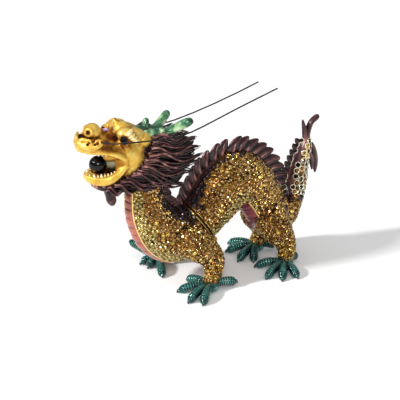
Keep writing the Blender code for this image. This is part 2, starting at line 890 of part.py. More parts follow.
def main():
    for old in list(bpy.data.objects):
        bpy.data.objects.remove(old)
    collection = bpy.data.collections.new("dragon_trinket_box")
    bpy.context.scene.collection.children.link(collection)
    stance = bpy.data.objects.new("stance", None)
    collection.objects.link(stance)
    hinge = bpy.data.objects.new("hinge", None)
    hinge.location = hinge_axis * unit
    hinge.parent = stance
    collection.objects.link(hinge)

    amber = finish("amber_crystal_scales", (0.36, 0.20, 0.05), 0.3, 0.6)
    black = finish("black_glass", (0.01, 0.01, 0.012), 0.05, 0.0)
    steel = finish("hinge_steel", (0.5, 0.45, 0.36), 0.35, 1.0)
    wire = finish("black_wire", (0.02, 0.025, 0.022), 0.4, 0.3)

    pearl = ball(pearl_centre, (pearl_radius,) * 3, sides=16, rings=10)
    eye = ball(eye_centre, (eye_radius,) * 3, sides=10, rings=8)
    far_whisker = mirrored(whisker(far_whisker_sag, far_whisker_bow, far_whisker_drop))
    pin_half = hinge_width / 2 + 0.3
    pieces = [
        placed("front_casting", front_casting(), amber, collection, stance),
        placed("rear_casting", rear_casting(), amber, collection, hinge),
        placed("hinge_pin", knuckle(-pin_half, pin_half, hinge_pin_radius), steel, collection, stance),
        placed("pearl", pearl, black, collection, stance),
        placed("eye_left", eye, black, collection, stance),
        placed("eye_right", mirrored(eye), black, collection, stance),
        placed("whisker_left", whisker(), wire, collection, stance),
        placed("whisker_right", far_whisker, wire, collection, stance),
    ]
    centre_on_footprint(stance, pieces)


main()
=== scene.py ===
import json
import math
import random

import bmesh
import bpy
import numpy as np
from mathutils import Matrix, Vector
from mathutils.bvhtree import BVHTree
from mathutils.kdtree import KDTree


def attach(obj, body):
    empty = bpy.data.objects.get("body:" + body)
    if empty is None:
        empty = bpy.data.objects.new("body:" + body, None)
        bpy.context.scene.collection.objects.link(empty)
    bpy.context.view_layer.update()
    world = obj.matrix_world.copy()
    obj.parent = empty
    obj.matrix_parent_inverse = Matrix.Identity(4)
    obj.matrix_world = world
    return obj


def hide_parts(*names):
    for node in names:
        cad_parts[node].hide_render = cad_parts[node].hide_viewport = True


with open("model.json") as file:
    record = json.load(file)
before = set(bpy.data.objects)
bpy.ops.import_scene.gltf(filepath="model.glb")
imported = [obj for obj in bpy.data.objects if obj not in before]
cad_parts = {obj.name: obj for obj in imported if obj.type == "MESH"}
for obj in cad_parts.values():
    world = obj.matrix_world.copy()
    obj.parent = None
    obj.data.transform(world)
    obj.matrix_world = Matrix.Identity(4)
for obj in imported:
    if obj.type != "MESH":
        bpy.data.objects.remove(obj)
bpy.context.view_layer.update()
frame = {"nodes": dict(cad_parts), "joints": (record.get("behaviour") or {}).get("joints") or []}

mm = 0.001

# Everything is modelled in millimetres, with the nose towards -X and the hinge where the dragon's
# drawing has it, and then put on the frame by that hinge.
seamSlope = math.radians(35)
seamPoint = Vector((-13.2, 0, 25.0))
seamNormal = Vector((math.cos(seamSlope), 0, math.sin(seamSlope)))
seamDown = Vector((seamNormal.z, 0, -seamNormal.x))
hingeReach = 11.45  # from the middle of the seam down to the pin
hingeAxis = seamPoint + seamDown * hingeReach
onFrame = Matrix.Translation(Vector(frame["joints"][0]["pos_m"]) - hingeAxis * mm) @ Matrix.Scale(mm, 4)

# Centre line and radius of the body from the skull to the tail's tip, and of the fuller underside
bodyLine = [
    (-37.0, 60.0, 7.2), (-37.6, 50.0, 7.5), (-37.6, 41.0, 8.1), (-35.8, 32.0, 9.5), (-29.8, 23.4, 11.5),
    (-21.0, 19.4, 11.7), (-13.2, 25.0, 10.6), (-7.0, 32.8, 10.8), (-1.8, 38.0, 11.4), (5.6, 40.3, 11.8),
    (12.4, 37.2, 11.0), (17.4, 30.6, 9.8), (22.4, 22.4, 9.2), (28.8, 18.6, 8.0), (33.4, 22.8, 5.8),
    (36.4, 31.0, 5.1), (38.4, 40.0, 4.2), (41.0, 48.0, 3.2), (42.0, 51.6, 2.0),
]
flankLine = [(-17.6, 19.0, 9.6), (-12.0, 24.0, 10.2), (-5.2, 30.4, 10.7), (1.6, 34.8, 10.4), (8.0, 36.0, 9.8)]
bodyWidth = 0.86  # the body is a little flatter from side to side


def smoothLine(points, steps):
    # Catmull-Rom through tuples of any length
    ends = [points[0], *points, points[-1]]
    made = []
    for a, b, c, d in zip(ends, ends[1:], ends[2:], ends[3:]):
        for k in range(steps):
            t = k / steps
            made.append(tuple(
                0.5 * (2 * q + (r - p) * t + (2 * p - 5 * q + 4 * r - s) * t**2
                       + (3 * q - p - 3 * r + s) * t**3)
                for p, q, r, s in zip(a, b, c, d)))
    made.append(tuple(points[-1]))
    return made


def measured(points, steps):
    line = smoothLine(points, steps)
    lengths = [0.0]
    for a, b in zip(line, line[1:]):
        lengths.append(lengths[-1] + math.hypot(b[0] - a[0], b[1] - a[1]))
    return line, lengths


bodyPath = measured(bodyLine, 8)
flankPath = measured(flankLine, 8)
bodyLength = bodyPath[1][-1]
flankLength = flankPath[1][-1]


def lineAt(path, length):
    # centre, direction along, direction towards the back, radius
    line, lengths = path
    length = min(max(length, 0.0), lengths[-1])
    k = max(1, int(np.searchsorted(lengths, length)))
    k = min(k, len(line) - 1)
    p, q = line[k - 1], line[k]
    share = (length - lengths[k - 1]) / (lengths[k] - lengths[k - 1])
    centre = Vector((p[0] + (q[0] - p[0]) * share, 0, p[1] + (q[1] - p[1]) * share))
    along = Vector((q[0] - p[0], 0, q[1] - p[1])).normalized()
    return centre, along, Vector((-along.z, 0, along.x)), p[2] + (q[2] - p[2]) * share


def lengthNear(x, z):
    line, lengths = bodyPath
    return min(zip(lengths, line), key=lambda row: math.hypot(row[1][0] - x, row[1][1] - z))[0]


seamLength = lengthNear(seamPoint.x, seamPoint.z)
tailStart = lengthNear(33.0, 20.0)


# Small tools


def readRows(source, name):
    # one row of x, y and z for each vertex or face
    values = np.empty(len(source) * 3)
    source.foreach_get(name, values)
    return values.reshape(-1, 3)


def seamDistance(points):
    return np.abs((points - np.array(seamPoint)) @ np.array(seamNormal))


def deselectAll():
    for chosen in list(bpy.context.selected_objects):
        chosen.select_set(False)


def choose(*objects):
    deselectAll()
    for one in objects:
        one.select_set(True)
    bpy.context.view_layer.objects.active = objects[0]
    return objects[0]


def applyAll(obj):
    choose(obj)
    for step in list(obj.modifiers):
        bpy.ops.object.modifier_apply(modifier=step.name)


def ball(place, radii, pitch=0, sides=32, rings=20, turn=0):
    deselectAll()
    bpy.ops.mesh.primitive_uv_sphere_add(
        segments=sides, ring_count=rings, radius=1, location=place,
        rotation=(0, math.radians(pitch), math.radians(turn)), scale=radii)
    bpy.ops.object.transform_apply(location=True, rotation=True, scale=True)
    return bpy.context.object


def ring(place, facing, radius, thickness, around=28, section=10):
    deselectAll()
    bpy.ops.mesh.primitive_torus_add(
        major_radius=radius, minor_radius=thickness, major_segments=around, minor_segments=section,
        location=place, rotation=Vector(facing).to_track_quat("Z", "Y").to_euler())
    bpy.ops.object.transform_apply(location=True, rotation=True, scale=True)
    return bpy.context.object


def tubes(strands, sides=10, flatten=1.0, smooth=0):
    # closed round tubes through rows of x, y, z and radius, as one mesh
    line = bpy.data.curves.new("line", "CURVE")
    line.dimensions = "3D"
    line.twist_mode = "MINIMUM"
    line.bevel_depth = 1
    line.bevel_resolution = (sides - 4) // 2
    line.use_fill_caps = True
    for strand in strands:
        if smooth:
            strand = smoothLine(strand, smooth)
        spline = line.splines.new("POLY")
        spline.points.add(len(strand) - 1)
        for point, row in zip(spline.points, strand):
            point.co = (*row[:3], 1)
            point.radius = row[3]
    made = bpy.data.objects.new("tubes", line)
    bpy.context.scene.collection.objects.link(made)
    choose(made)
    bpy.ops.object.convert(target="MESH")
    made = bpy.context.object
    if flatten != 1.0:
        made.data.transform(Matrix.Diagonal((1, flatten, 1, 1)))
    mergeDoubles(made)
    return made


def mergeDoubles(obj, distance=0.0005):
    shape = bmesh.new()
    shape.from_mesh(obj.data)
    bmesh.ops.remove_doubles(shape, verts=shape.verts, dist=distance)
    bmesh.ops.recalc_face_normals(shape, faces=shape.faces)
    shape.to_mesh(obj.data)
    shape.free()


def rod(start, end, startRadius, endRadius, sides=16):
    return tubes([[(*start, startRadius), (*end, endRadius)]], sides)


def otherSide(obj):
    twin = obj.copy()
    twin.data = obj.data.copy()
    bpy.context.scene.collection.objects.link(twin)
    twin.data.transform(Matrix.Diagonal((1, -1, 1, 1)))
    twin.data.flip_normals()
    return twin


def bothSides(objects):
    return list(objects) + [otherSide(one) for one in objects]


def joined(objects, name):
    body = choose(*objects)
    if len(objects) > 1:
        bpy.ops.object.join()
    body.name = name
    body.data.name = name
    body.data.materials.clear()
    return body


def addStep(obj, kind, **settings):
    step = obj.modifiers.new(kind.lower(), kind)
    for name, value in settings.items():
        setattr(step, name, value)


def moulded(obj, voxel, fillet, rounds, factor=0.5):
    # overlapping shapes run together into one skin; growing and shrinking it fills the inner corners
    addStep(obj, "REMESH", mode="VOXEL", voxel_size=voxel)
    if fillet:
        addStep(obj, "DISPLACE", strength=fillet, mid_level=0)
        addStep(obj, "REMESH", mode="VOXEL", voxel_size=voxel)
        addStep(obj, "DISPLACE", strength=-fillet, mid_level=0)
        addStep(obj, "REMESH", mode="VOXEL", voxel_size=voxel)
    addStep(obj, "SMOOTH", factor=factor, iterations=rounds)
    applyAll(obj)
    return obj


def cut(obj, tool, operation="DIFFERENCE"):
    step = obj.modifiers.new("cut", "BOOLEAN")
    step.operation = operation
    step.solver = "EXACT"
    step.object = tool
    applyAll(obj)
    bpy.data.objects.remove(tool)
    return obj


# settings of the painted shade: reach and count of the rays, level on open faces, painted shade where rays
# are blocked, painted highlight on ridges
hollows = {"reach": 2.6, "rays": 9, "flat": 0.4, "shade": 0.9, "edge": 0.22}
rayFan = []
for k in range(hollows["rays"]):
    rise = 0.22 + 0.74 * (k + 0.5) / hollows["rays"]
    flat = math.sqrt(1 - rise * rise)
    rayFan.append((flat * math.cos(2.4 * k), flat * math.sin(2.4 * k), rise))


def markShadeAndPatina(obj, gain=1.0, spots=(), shadowBySeam=0):
    # painted shade with patina in the hollows and painted highlight with wear on the edges: 0 on sharp
    # ridges, 0.4 on open faces, 1 deep between things
    mesh = obj.data
    count = len(mesh.vertices)
    places = readRows(mesh.vertices, "co")
    normals = readRows(mesh.vertices, "normal")
    edges = np.empty(len(mesh.edges) * 2, dtype=np.int64)
    mesh.edges.foreach_get("vertices", edges)
    edges = edges.reshape(-1, 2)
    share = np.bincount(edges.ravel(), minlength=count).clip(1)[:, None]
    level = places
    for _ in range(3):
        total = np.stack([
            np.bincount(edges[:, 0], level[edges[:, 1], axis], count)
            + np.bincount(edges[:, 1], level[edges[:, 0], axis], count) for axis in range(3)], axis=1)
        level = total / share
    depth = ((level - places) * normals).sum(axis=1)
    depth -= np.median(depth)
    depth = np.clip(depth / max(1e-6, np.percentile(np.abs(depth), 90)), -1, 1)
    side = np.cross(normals, np.where(np.abs(normals[:, 2:]) < 0.9, [0.0, 0.0, 1.0], [1.0, 0.0, 0.0]))
    side /= np.maximum(1e-9, np.linalg.norm(side, axis=1))[:, None]
    other = np.cross(normals, side)
    tree = BVHTree.FromObject(obj, bpy.context.evaluated_depsgraph_get())
    starts = places + normals * 0.06
    blocked = np.zeros(count)
    # rays blocked close by mark where painted shade falls
    for a, b, c in rayFan:
        ways = side * a + other * b + normals * c
        for k in range(count):
            if tree.ray_cast(starts[k], ways[k], hollows["reach"])[0] is not None:
                blocked[k] += 1
    # painted shade from the blocked rays, lighter on ridges as painted highlight and wear
    value = hollows["flat"] + hollows["shade"] * gain * blocked / hollows["rays"]
    value += hollows["edge"] * gain * depth
    for spot, radius, weight in spots:
        away = np.linalg.norm(places * [1, 0, 1] + np.abs(places) * [0, 1, 0] - np.array(spot), axis=1)
        fade = np.clip(1.6 - 1.6 * away / radius, 0, 1)
        value = np.maximum(value, hollows["flat"] + (weight - hollows["flat"]) * fade)
    # faces beside the seam are painted fully dark: the shadow in the gap
    if shadowBySeam:
        value[seamDistance(places) < shadowBySeam] = 1
    made = mesh.attributes.new("patinaAndShade", "FLOAT", "POINT")
    made.data.foreach_set("value", np.clip(value, 0, 1).astype(np.float32))


def settle(obj, body, materials, angle=40):
    # the finished piece in metres, on its body
    obj.data.transform(onFrame)
    for material in materials:
        obj.data.materials.append(material)
    choose(obj)
    bpy.ops.object.shade_smooth_by_angle(angle=math.radians(angle))
    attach(obj, body)
    return obj


# Materials


def toLinear(code):
    parts = [int(code[k:k + 2], 16) / 255 for k in (1, 3, 5)]
    return tuple(c / 12.92 if c <= 0.04045 else ((c + 0.055) / 1.055) ** 2.4 for c in parts) + (1.0,)


def addNode(tree, kind, inputs=None, stops=(), **settings):
    made = tree.nodes.new(kind)
    for name, value in settings.items():
        setattr(made, name, value)
    for name, value in (inputs or {}).items():
        if isinstance(value, bpy.types.NodeSocket):
            tree.links.new(value, made.inputs[name])
        else:
            made.inputs[name].default_value = value
    if stops:
        places = made.color_ramp.elements
        while len(places) < len(stops):
            places.new(0.5)
        for place, (where, colour) in zip(places, stops):
            place.position = where
            place.color = toLinear(colour)
    return made


def newMaterial(name, values):
    # a material whose shader has these plain values, with its node tree and shader
    material = bpy.data.materials.new(name)
    material.use_nodes = True
    shader = material.node_tree.nodes["Principled BSDF"]
    for socket, value in values.items():
        shader.inputs[socket].default_value = value
    return material, material.node_tree, shader


def castMetal(name, look):
    # gilt or enamelled pewter: a colour that darkens with patina and painted shade in the hollows and
    # lightens with wear and painted highlight on the edges, with a fine cast grain
    material, tree, shader = newMaterial(name, {
        "Metallic": look["metallic"], "Coat Weight": look.get("coat", 0.0), "Coat Roughness": 0.06,
        "Specular IOR Level": 0.3})
    where = addNode(tree, "ShaderNodeTexCoord").outputs["Object"]
    # the patina and painted shade level that leads the colour ramp
    patinaAndShade = addNode(tree, "ShaderNodeAttribute", attribute_name="patinaAndShade").outputs["Fac"]
    patch = addNode(
        tree, "ShaderNodeTexNoise", {"Vector": where, "Scale": 1 / (look["patch"] * mm), "Detail": 3.0})
    drift = addNode(tree, "ShaderNodeMapRange", {
        "Value": patch.outputs["Fac"], "From Min": 0.3, "From Max": 0.7, "To Min": -look["drift"],
        "To Max": look["drift"]})
    level = addNode(tree, "ShaderNodeMath", {0: patinaAndShade, 1: drift.outputs[0]}, operation="ADD").outputs[0]
    tint = addNode(tree, "ShaderNodeValToRGB", {"Fac": level}, look["stops"])
    tree.links.new(tint.outputs["Color"], shader.inputs["Base Color"])
    rough = addNode(
        tree, "ShaderNodeMapRange", {"Value": level, "To Min": look["rough"][0], "To Max": look["rough"][1]})
    tree.links.new(rough.outputs[0], shader.inputs["Roughness"])
    grain = addNode(
        tree, "ShaderNodeTexNoise", {"Vector": where, "Scale": 1 / (look["grain"] * mm), "Detail": 2.0})
    bump = addNode(tree, "ShaderNodeBump", {
        "Height": grain.outputs["Fac"], "Strength": look["bump"], "Distance": 0.05 * mm})
    tree.links.new(bump.outputs["Normal"], shader.inputs["Normal"])
    return material


looks = {
    "face gilt": {  # satin gold paint over pewter, umber patina and painted shade in the hollows, painted highlight near white on the ridges
        "metallic": 0.55, "rough": (0.26, 0.5), "patch": 3.0, "grain": 0.35, "bump": 0.3, "drift": 0.07,
        "stops": [(0.0, "#FFFFD8"), (0.26, "#FCE68A"), (0.42, "#DCB04A"), (0.58, "#B07C26"),
            (0.76, "#6A3812"), (1.0, "#210C08")]},
    "pale gilt": {  # the same gold laid thin over white, on tufts and rims, with painted highlight on the edges and painted shade in the hollows
        "metallic": 0.5, "rough": (0.22, 0.4), "patch": 2.0, "grain": 0.4, "bump": 0.2, "drift": 0.08,
        "stops": [(0.0, "#FFFBE0"), (0.4, "#F4D884"), (0.65, "#B9852A"), (1.0, "#3A1A0A")]},
    "setting gilt": {  # bright gold plate round the stones, brown in the cells, with painted highlight on ridges and painted shade in creases
        "metallic": 0.9, "rough": (0.2, 0.42), "patch": 4.0, "grain": 0.4, "bump": 0.15, "drift": 0.16,
        "stops": [(0.0, "#B88C44"), (0.3, "#6A4618"), (0.5, "#301C08"), (1.0, "#0E0602")]},
    "plum enamel": {  # brown-violet enamel, painted with a pearly highlight on the ridges and with painted shade, nearly black, between them
        "metallic": 0.45, "rough": (0.2, 0.4), "patch": 4.0, "grain": 0.5, "bump": 0.12, "coat": 0.4,
        "drift": 0.1,
        "stops": [(0.0, "#F0C8B4"), (0.17, "#946058"), (0.38, "#482A2C"), (0.58, "#221114"),
            (1.0, "#080405")]},
    "mane enamel": {  # the same enamel on the locks, with painted shine on their ridges and painted shade between them
        "metallic": 0.6, "rough": (0.16, 0.4), "patch": 2.6, "grain": 0.4, "bump": 0.15, "coat": 0.3,
        "drift": 0.14,
        "stops": [(0.0, "#FFDCC8"), (0.14, "#C08A7C"), (0.32, "#6A3C3C"), (0.52, "#2A1618"),
            (1.0, "#060304")]},
    "teal enamel": {  # glossy dark blue-green enamel over ribbed toes, with painted highlight on the ribs and painted shade between them
        "metallic": 0.35, "rough": (0.1, 0.22), "patch": 4.0, "grain": 0.6, "bump": 0.06, "coat": 0.5,
        "drift": 0.06,
        "stops": [(0.0, "#A8D8CC"), (0.2, "#2A7468"), (0.4, "#0E403E"), (0.62, "#062426"), (1.0, "#020C0E")]},
    "coral enamel": {  # soft coral enamel on the belly plates, with painted highlight on the ribs and painted shade in the grooves
        "metallic": 0.15, "rough": (0.28, 0.4), "patch": 6.0, "grain": 0.6, "bump": 0.08, "coat": 0.3,
        "drift": 0.07,
        "stops": [(0.0, "#E2A890"), (0.3, "#B26A55"), (0.55, "#7E4236"), (1.0, "#3A1812")]},
    "wine enamel": {  # the belly behind the hinge, deeper and redder, with painted highlight on the ribs and painted shade in the grooves
        "metallic": 0.25, "rough": (0.22, 0.4), "patch": 5.0, "grain": 0.6, "bump": 0.08, "coat": 0.4,
        "drift": 0.08,
        "stops": [(0.0, "#D8A09A"), (0.3, "#9A484C"), (0.6, "#5E242A"), (1.0, "#260C10")]},
    "green enamel": {  # jade green enamel on the antlers, with painted pale highlights on the ridges and painted shade in the hollows
        "metallic": 0.35, "rough": (0.12, 0.28), "patch": 3.4, "grain": 0.5, "bump": 0.1, "coat": 0.5,
        "drift": 0.3,
        "stops": [(0.0, "#EEF4D0"), (0.22, "#A4C894"), (0.42, "#4C7F5A"), (0.62, "#22503A"),
            (1.0, "#0C2A1E")]},
    "moss enamel": {  # grey-green enamel on the tongue, with painted highlight and painted shade
        "metallic": 0.2, "rough": (0.25, 0.4), "patch": 2.5, "grain": 0.5, "bump": 0.1, "coat": 0.3,
        "drift": 0.15,
        "stops": [(0.0, "#C4C09E"), (0.4, "#8C896A"), (1.0, "#35342A")]},
    "tooth enamel": {  # cream enamel teeth, gold at the root, with painted shade deepening the root
        "metallic": 0.2, "rough": (0.15, 0.3), "patch": 2.0, "grain": 0.5, "bump": 0.05, "coat": 0.4,
        "drift": 0.1,
        "stops": [(0.0, "#FFFBEA"), (0.5, "#F4E4B4"), (1.0, "#8A6026")]},
    "collar gilt": {  # the thin bright collars and grains that hold the stones
        "metallic": 0.9, "rough": (0.18, 0.3), "patch": 0.9, "grain": 0.5, "bump": 0.1, "drift": 0.34,
        "stops": [(0.0, "#D8B465"), (0.1, "#8E682C"), (0.26, "#4A2E10"), (1.0, "#1E1006")]},
    "inner gilt": {  # plain gold wash inside the box, its darkest end being the painted shadow in the seam gap
        "metallic": 0.9, "rough": (0.3, 0.45), "patch": 4.0, "grain": 0.5, "bump": 0.2, "drift": 0.1,
        "stops": [(0.0, "#F4D27A"), (0.5, "#C99A3C"), (0.85, "#7A5420"), (1.0, "#150C04")]},
}
metals = {name: castMetal(name.replace(" ", "_"), look) for name, look in looks.items()}


def crystalGlass():
    # foil-backed glass stones: each facet is painted its own share of the stone's colour and of its painted
    # reflections and glints
    material, tree, shader = newMaterial("foiled_crystal", {
        "Metallic": 0.8, "Roughness": 0.1, "Coat Weight": 0.25, "Coat Roughness": 0.02})
    colourAndGlint = addNode(tree, "ShaderNodeAttribute", attribute_name="colourAndGlint").outputs["Color"]
    tree.links.new(colourAndGlint, shader.inputs["Base Color"])
    return material


crystal = crystalGlass()


def plainGlass(name, colour, roughness, metallic=0.0, coat=1.0, patch=2.0):
    material, tree, shader = newMaterial(name, {
        "Metallic": metallic, "Roughness": roughness, "Specular IOR Level": 0.3, "Coat Weight": coat,
        "Coat Roughness": 0.03})
    where = addNode(tree, "ShaderNodeTexCoord").outputs["Object"]
    drift = addNode(tree, "ShaderNodeTexNoise", {"Vector": where, "Scale": 1 / (patch * mm), "Detail": 3.0})
    stops = [(0.3, colour[0]), (0.7, colour[1])]
    tint = addNode(tree, "ShaderNodeValToRGB", {"Fac": drift.outputs["Fac"]}, stops)
    tree.links.new(tint.outputs["Color"], shader.inputs["Base Color"])
    return material


blackGlass = plainGlass("polished_black_glass", ("#040405", "#08070A"), 0.04, 0.0, 0.0)
lacquer = plainGlass("black_lacquered_wire", ("#040706", "#0E1614"), 0.35, 0.0, 0.1, 6.0)
pinSteel = plainGlass("drawn_steel_pin", ("#8A8070", "#A89A80"), 0.35, 1.0, 0.0)
lilacGlass = plainGlass("lilac_crystal", ("#B48AE0", "#D9B8FF"), 0.05, 0.3)
print("materials made")


# Body of each casting: outer form, seam, cavity and hinge


def bodyTube(path, start, end, step, inset=0.0, sides=40, closeEnds=False):
    count = max(2, round((end - start) / step))
    rows = []
    for k in range(count + 1):
        centre, _, _, radius = lineAt(path, start + (end - start) * k / count)
        rows.append([*centre, radius - inset])
    if closeEnds:
        rows[0][3] *= 0.55
        rows[-1][3] *= 0.55
    return tubes([rows], sides, bodyWidth)


limbs = {  # x, y, z and radius from the body to inside the foot
    "nearFront": [(-22.5, -6.0, 20.5, 7.6), (-16.8, -10.8, 16.6, 6.7), (-12.6, -13.8, 11.6, 4.6),
        (-14.4, -16.6, 5.8, 3.5), (-17.2, -18.6, 2.6, 3.2)],
    "farFront": [(-23.0, 6.0, 20.5, 7.4), (-20.0, 11.4, 16.0, 6.6), (-18.4, 14.2, 11.0, 4.8),
        (-20.6, 16.0, 5.8, 3.6), (-22.2, 16.6, 2.6, 3.2)],
    "nearHind": [(20.6, -4.0, 20.0, 8.2), (23.0, -7.8, 14.8, 6.6), (25.3, -10.8, 9.6, 4.4),
        (24.4, -12.8, 5.4, 3.4), (22.8, -14.0, 2.6, 3.2)],
    "farHind": [(20.6, 4.0, 20.0, 8.2), (23.4, 6.4, 14.4, 6.4), (24.8, 7.2, 9.2, 4.3),
        (23.2, 7.6, 5.2, 3.5), (21.6, 7.8, 2.6, 3.2)],
}
box = {
    "wall": 1.6, "seamGap": 0.5, "seamShadow": 0.62, "lip": 0.84, "cavityFront": 19.0, "cavityRear": 22.0,
    "skin": 0.5, "fillet": 1.8, "ridge": 2.6}
hinge = {
    "barrel": 1.5, "pin": 0.6, "pinClearance": 0.12, "width": 9.0, "middle": 3.0, "sideGap": 0.3,
    "pocketGap": 0.35}


def seamBlock(side):
    # a block over everything on one side of the seam
    normal = seamNormal * side
    deselectAll()
    bpy.ops.mesh.primitive_cube_add(
        size=1, location=seamPoint + normal * (45 - box["seamGap"] / 2), scale=(90, 120, 120))
    block = bpy.context.object
    bpy.ops.object.transform_apply(location=False, rotation=False, scale=True)
    block.rotation_euler = (0, math.atan2(-normal.z, normal.x), 0)
    bpy.ops.object.transform_apply(location=True, rotation=True, scale=True)
    return block


def barrel(start, end, radius):
    return rod(hingeAxis + Vector((0, start, 0)), hingeAxis + Vector((0, end, 0)), radius, radius, 28)


def knuckleSpans():
    half, middle = hinge["width"] / 2, hinge["middle"] / 2
    outer = middle + hinge["sideGap"]
    return {"front": [(-half, -outer), (outer, half)], "rear": [(-middle, middle)]}


def cutPockets(obj, half):
    # room for the knuckles of the other casting
    for start, end in knuckleSpans()["rear" if half == "front" else "front"]:
        radius = hinge["barrel"] + hinge["pocketGap"]
        cut(obj, barrel(start - hinge["sideGap"], end + hinge["sideGap"], radius))


def boxCavity(wall):
    start, end = seamLength - box["cavityFront"], seamLength + box["cavityRear"]
    return bodyTube(bodyPath, start, end, 2.4, wall, 32, True)


def ridge(start, end, lastShare=1.0):
    rows = []
    for k in range(41):
        centre, _, back, radius = lineAt(bodyPath, start + (end - start) * k / 40)
        size = box["ridge"] * (1 + (lastShare - 1) * k / 40)
        rows.append((*(centre + back * (radius + 0.6 - size)), size))
    return tubes([rows], 16)


def scoreLip(obj, side):
    # edges round the casting beside the seam, where its painted shadow line ends and where its gold lip ends
    choose(obj)
    for away in (box["seamShadow"], box["lip"]):
        bpy.ops.object.mode_set(mode="EDIT")
        bpy.ops.mesh.select_all(action="SELECT")
        bpy.ops.mesh.bisect(plane_co=seamPoint + seamNormal * side * away, plane_no=seamNormal)
        bpy.ops.object.mode_set(mode="OBJECT")


def trunk(half):
    front = half == "front"
    if front:
        parts = [bodyTube(bodyPath, 0, seamLength + 8, 1.2), ridge(22, seamLength + 8)]
        legs = ("nearFront", "farFront")
    else:
        parts = [
            bodyTube(bodyPath, seamLength - 8, bodyLength, 1.2), ridge(seamLength - 8, bodyLength - 2, 0.5)]
        legs = ("nearHind", "farHind")
    parts.append(bodyTube(flankPath, 0, flankLength, 1.2))
    parts += [tubes([limbs[leg]], 24, smooth=6) for leg in legs]
    made = moulded(joined(parts, half + "Trunk"), box["skin"], box["fillet"], 6)
    cut(made, seamBlock(1 if front else -1))
    scoreLip(made, -1 if front else 1)
    for start, end in knuckleSpans()[half]:
        cut(made, barrel(start, end, hinge["barrel"]), "UNION")
    cut(made, boxCavity(box["wall"]))
    cutPockets(made, half)
    return cut(made, barrel(-hinge["width"], hinge["width"], hinge["pin"] + hinge["pinClearance"]))


# Where on the body a point lies

belt = {"angle": 151, "rearAngle": 134}  # the belly plates start this far round from the back

bodyRows = np.array([(x, z, r) for x, z, r in bodyPath[0]])
bodyLengths = np.array(bodyPath[1])
bodyAlong = np.gradient(bodyRows[:, :2], axis=0)
bodyAlong /= np.linalg.norm(bodyAlong, axis=1)[:, None]


def beltAt(lengths):
    return np.interp(
        lengths, [lengthNear(5.6, 40.3), lengthNear(12.4, 37.2)], [belt["angle"], belt["rearAngle"]])


def onBody(points):
    # for each point: length along the body, angle from the back in degrees, and distance from the
    # axis over the radius
    points = np.asarray(points, dtype=float)
    away = ((points[:, None, [0, 2]] - bodyRows[None, :, :2]) ** 2).sum(axis=2)
    best = away.argmin(axis=1)
    offset = points[:, [0, 2]] - bodyRows[best, :2]
    up = -offset[:, 0] * bodyAlong[best, 1] + offset[:, 1] * bodyAlong[best, 0]
    side = points[:, 1] / bodyWidth
    angle = np.degrees(np.arctan2(np.abs(side), up))
    return bodyLengths[best], angle, np.hypot(up, side) / bodyRows[best, 2]


# length along the body, half-width in degrees of the bare enamelled back, and of the dark stones beside it,
# dark partly in their own smoky colour and partly as painted shade in the valleys
plumStops = [
    (0, 30, 46), (lengthNear(-37.6, 41), 24, 40), (seamLength - 16, 24, 46), (seamLength - 4, 22, 50),
    (seamLength + 8, 20, 46),
    (lengthNear(-1.8, 38), 14, 20), (lengthNear(5.6, 40.3), 10, 6), (lengthNear(17.4, 30.6), 13, 12),
    (tailStart - 6, 28, 44),
    (tailStart, 48, 54), (bodyLength - 12, 50, 52), (bodyLength, 90, 90),
]


def plumWidth(lengths, column=1):
    return np.interp(lengths, [row[0] for row in plumStops], [row[column] for row in plumStops])


def paintTrunk(obj):
    # material of each face: 0 gilt setting, 1 plum enamel along the back, 2 gilt inside and on the
    # seam faces, dark there as the painted shadow of the gap, 3 belly enamel, 4 gold lip
    mesh = obj.data
    centres = readRows(mesh.polygons, "center")
    lengths, angle, share = onBody(centres)
    kind = np.zeros(len(centres), dtype=np.int32)
    kind[(angle < plumWidth(lengths, 2) - 6) & (share > 0.9) & (share < 1.3)] = 1
    fromSeam = seamDistance(centres)
    belly = (angle > beltAt(lengths)) & (share < 1.2) & (np.abs(centres[:, 1]) < 7.5)
    kind[belly & (lengths < tailStart)] = 3
    inside = (share < 0.93) & (fromSeam < 24) & (centres[:, 2] > 8) & (np.abs(centres[:, 1]) < 10.5)
    kind[inside & (share < 0.9)] = 2
    kind[(fromSeam > box["seamShadow"]) & (fromSeam < box["lip"]) & (share > 0.9) & (kind == 0)] = 4
    kind[fromSeam < box["seamShadow"]] = 2
    mesh.polygons.foreach_set("material_index", kind)
    return centres, kind


print("body tools ready")

trunks = {}
for half in ("front", "rear"):
    trunks[half] = trunk(half)
    print(half, "trunk", len(trunks[half].data.polygons), "faces")


# Stones: one chaton and its gold collar, copied over the body in a close pattern


stones = {
    "pitch": 2.1, "fine": 1.55, "large": 2.5, "fill": 0.45, "collar": 0.13, "height": 0.44, "table": 0.5,
    "facets": 8, "darts": 60000, "offSeam": 1.55, "offFloor": 4.6, "tail": 6, "tailCollars": 8}
stoneColoursAndGlints = {  # each stone's colour with painted reflections: the two tones of a table first, then the painted reflections and glints of the facets round it
    "amber": ["#784414", "#985E22", "#2A1404", "#120702", "#B07632", "#3A2008", "#FFF0C0", "#7C4A18"],
    "olive": ["#948A50", "#B0A664", "#4A4418", "#28240A", "#D0C88C", "#5E5824", "#FFFCD8", "#B8AE68"],
    "smoke": ["#20140E", "#3E2A1C", "#0C0606", "#060304", "#5A4030", "#1A1010", "#D8BC9C", "#2A1A12"],
    "plum": ["#140A0C", "#24141A", "#0A0506", "#060304", "#3A2028", "#120A0C", "#8A6E72", "#1A0E12"],
    "honey": ["#B88A2E", "#DCB450", "#6A4410", "#3E2408", "#ECD07A", "#8A6018", "#FFF4BC", "#F8DC88"],
}


